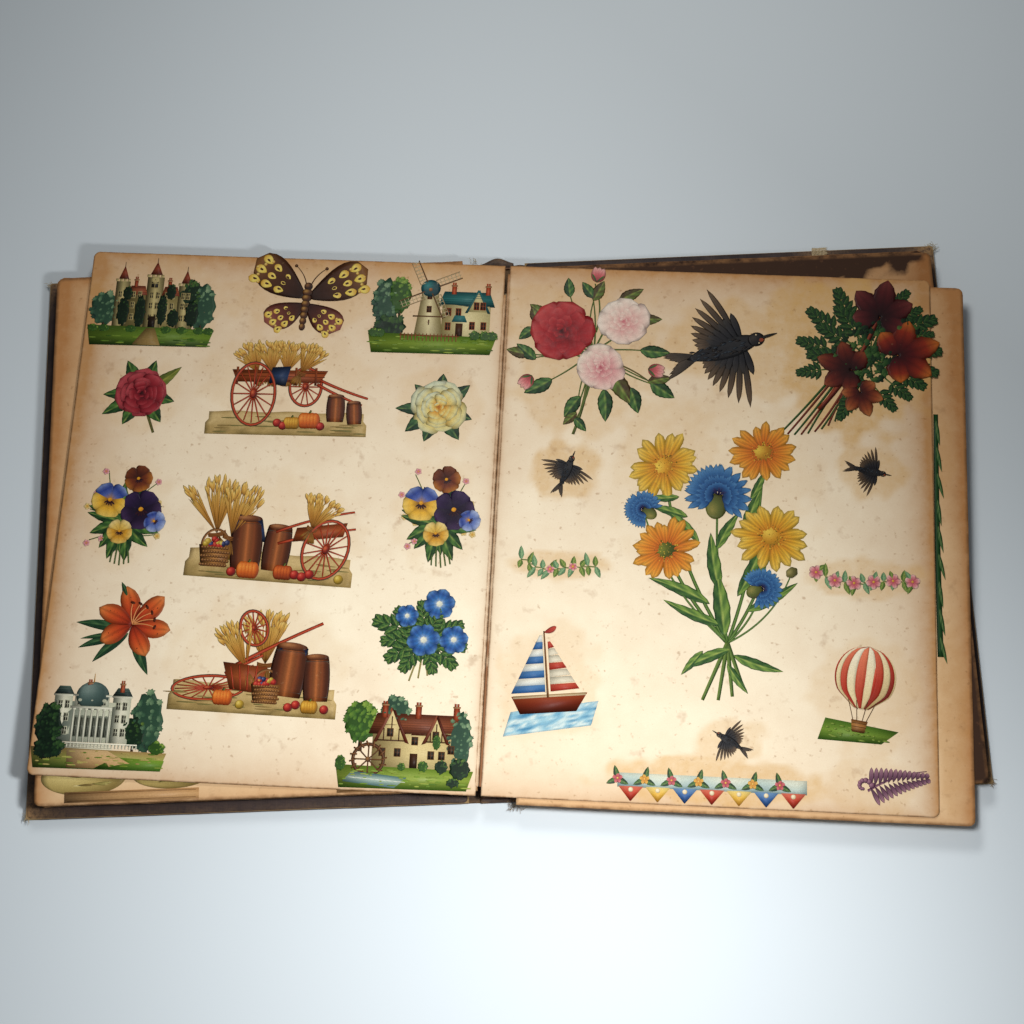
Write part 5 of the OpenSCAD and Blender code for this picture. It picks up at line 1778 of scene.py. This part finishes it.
s = Scrap("green_stem", (LOOSE_W + 4.1, 0))
s.stem((0.3, -82), (0, 88), 4.0, 3.2, "#14301a #2f6030 #21482a", 0.003, 20)
for i in range(9):
    s.leaf((0.2, 84 - 19 * i), -86 + 3 * (i % 3), 19, 2.6, "#1c3c1e #3f7038 #a8bb84", 0.05, 0)
s.finish("slipped_leaf", ["stem_scrap"], INNER_SEED, top=UNDER_Z)
print("garlands and stem pasted")

# %% [markdown]
# The last scraps are toys and trimmings. The boat's sails and the pennants are flat four-cornered patches,
# the balloon is ten slices of one round outline, and the fern is a stalk with two rows of small petals.

# %% Boat
s = Scrap("sailing_boat", (42, -109), 6)
sea = gradient("#4f9cc4 #a9d4e6 #e9f3f2 #7fbcd8")
s.patch(lambda u, t: (29 * u + 3 * t, -26 + 8 * t + 2 * u),
        lambda u, t: sea(0.5 + 0.9 * noise.noise(Vector((u * 3, t * 9, 4)))), 24, 10, 0.0)
s.quad((-20, -22), (17, -22), (25, -10), (-25, -10), "#4a1c10 #8c3a22 #b8603a")
s.box(-24, -11.6, 48, 1.8, "#e9dcc0 #a88a5c")
s.stem((-1, -12), (-1, 33), 1.5, 1.0, "#5c3a20 #a87c4c")
s.quad((-3, -8), (-2.4, -9), (-2, 31), (-2.2, 31), "#c9c2a8 #f4efe0")
for k in range(8):
    y = -8 + 4.8 * k
    w = 22 * (1 - k / 8.4)
    s.quad((-3 - w, y), (-2.6, y), (-2.4, y + 4.8), (-3 - w + 2.6, y + 4.8),
           "#d9e2e6 #f6f4ea" if k % 2 else "#2f6aa8 #6fa0d0")
for k in range(7):
    y = -8 + 4.8 * k
    w = 19 * (1 - k / 7.6)
    s.quad((1, y), (1 + w, y + 1), (1 + w - 2.4, y + 5), (1, y + 4.8),
           "#f4efe0 #d3d0c2" if k % 3 else "#b3362c #d9705c")
s.petal((-1, 32), 10, 9, 4, "#a82c24 #d9604c", bend=0.2)
on_right_page(s, "boat_scrap")
print(s.layers, "patches in the boat")

# %% Balloon
s = Scrap("striped_balloon", (247.7, -110), -8)
s.quad((-25, -34), (16, -30), (26, -20), (-22, -19), "#3f6b24 #8fae4c #5f8a34")
for i in range(30):
    s.disc((s.rng.uniform(-21, 19), s.rng.uniform(-31, -21)), s.rng.uniform(1, 3), "#a8bb5c #5c8030", 0.6, n=3)
for i in range(9):
    a = (i - 4) / 4.5
    s.petal((a * 5, -10), 90 + a * -2, 42, 0.1 + 9.6 * math.cos(a * 1.4),
            ("#8c241c #d9604a #f0a888", "#d9c493 #f6edd4 #fbf6e6")[i % 2],
            belly=0.62, blunt=0.5, bend=-a * 0.05, streak=0, edge=0.25)


def gore(u0, u1, colours):
    """The shape and ink of one strip of the balloon, from u0 to u1 across it."""
    at = gradient(colours)

    def shape(u, t):
        k = u0 + (u1 - u0) * (u + 1) / 2
        half = 20 * math.sqrt(max(0.0, 1 - t * t)) if t > -0.55 else 20 * (0.835 + (t + 0.55) * 1.3)
        return half * math.sin(k * math.pi / 2), 12 + 21 * t
    return shape, lambda u, t: at(0.5 + 0.35 * t + 0.25 * math.cos(3 * (u0 + 0.3)))


for i in range(10):
    s.patch(*gore(-1 + i * 0.2, -0.8 + i * 0.2, ("#7a1f18 #c94a34 #ee9a78", "#c4ac78 #f0e4c0 #fbf6e6")[i % 2]), 3, 16)
for x in (-5, -2, 2, 5):
    s.stem((x * 1.8, -4), (x * 0.8, -18), 0.5, 0.5, "#4a3420 #8a6a44", steps=3)
s.quad((-4, -25), (4, -25), (5.4, -17), (-5.4, -17), "#6b4322 #c49458 #8a5c30")
for j in range(3):
    s.box(-4.6, -24 + 2.4 * j, 9.4, 0.6, "#4a2c16 #a87c48")
on_right_page(s, "balloon_scrap")
print(s.layers, "patches in the balloon")

# %% Bunting and fern
s = Scrap("bunting", (150.6, -173), 0)
silk = gradient("#9fb9bf #c9d8d4 #e9ece0")
s.patch(lambda u, t: (61 * u, 0.5 + 4.6 * t), lambda u, t: silk(0.5 + 0.4 * t + 0.2 * math.sin(9 * u)), 20, 3, 0.0)
for j in range(7):
    x = -61 + 122 * (j + 0.5) / 7
    colours = ("#8c241c #c9503a #e8907a", "#b8862c #e8c45c #f6e6a4", "#23457a #4a78b4 #8fb4d9")[j % 3]
    s.quad((x - 0.3, -13), (x + 0.3, -13), (x + 8, -3.5), (x - 8, -3.5), colours)
    s.disc((x, -5.6), 1.6, "#f8f2e0 #d9ccaa", n=4)
    for a, l in ((90 + 14 * (-1) ** j, 9), (205, 8), (-25, 8)):
        s.leaf((x - 8.7, 1), a, l, 4, LEAF_GREEN, teeth=3)
    for k in range(5):
        s.petal((x - 8.7, 1.4), 72 * k + 20, 3.4, 3, ("#b8384a #e89098", "#d9952c #f3d06a")[j % 2], blunt=0.5)
    s.disc((x - 8.7, 1.4), 0.9, "#f3e28a #c9902c", n=3)
on_right_page(s, "bunting_scrap")

s = Scrap("mauve_fern", (252, -170), 12)
MAUVE = "#5c3450 #8f6480 #c9a0b0"
s.stem((-2, -2), (38, 4), 1.8, 0.6, MAUVE, 0.06, 12)
for i in range(13):
    for m in (-1, 1):
        s.petal((3 * i, 0.6 * math.sin(i / 3)), m * (68 - 2 * i), 13 - 0.75 * i, 3.2, MAUVE, streak=0.3, bend=0.1 * m)
for i in range(9):
    a = 30 * i
    s.disc(turned((-4, 1), a, 5.4 - 0.5 * i, 0), 2.0 - 0.12 * i, "#c9a0b0 #8f6480 #5c3450", n=4)
on_right_page(s, "fern_scrap")
print("bunting and fern pasted")

# %% What peeps out below the left leaf
# Two pale olive rounds and two tan strips lie along the tail of the second leaf
s = Scrap("second_leaf_scraps", (0, 0))
tail = extent("left_second_leaf")[0].y
for x, rx, ry in ((-276, 28, 12), (-218, 26, 9.5)):
    s.disc((x, tail + 18), rx, "#f2e9bc #e3d69c #c9b97c #9c8a52", ry, n=12)
    for i in range(14):
        s.petal((x + s.rng.uniform(-16, 8), tail + 15 + s.rng.uniform(-3, 6)), s.rng.uniform(-12, 12), 12, 1.6,
                s.rng.choice(("#a39c58 #c9bf80", "#80703f #b09c62", "#efe8bd #dccf98")), nu=3, nv=4)
for x, y, w in ((-244, 5, 88), (-70, 5, 80)):
    s.box(x - w / 2, tail + y - 3.5, w, 7, "#c4a074 #d3b285 #c29c6e")
    for rule in (-2.6, 2.2):
        s.box(x - w / 2 + 2, tail + y + rule, w - 4, 0.4, "#8f6f48")
s.finish("front_leaves", ["left_second_scraps"], INNER_SEED, FLAT, SECOND_Z)
print("all scraps pasted")
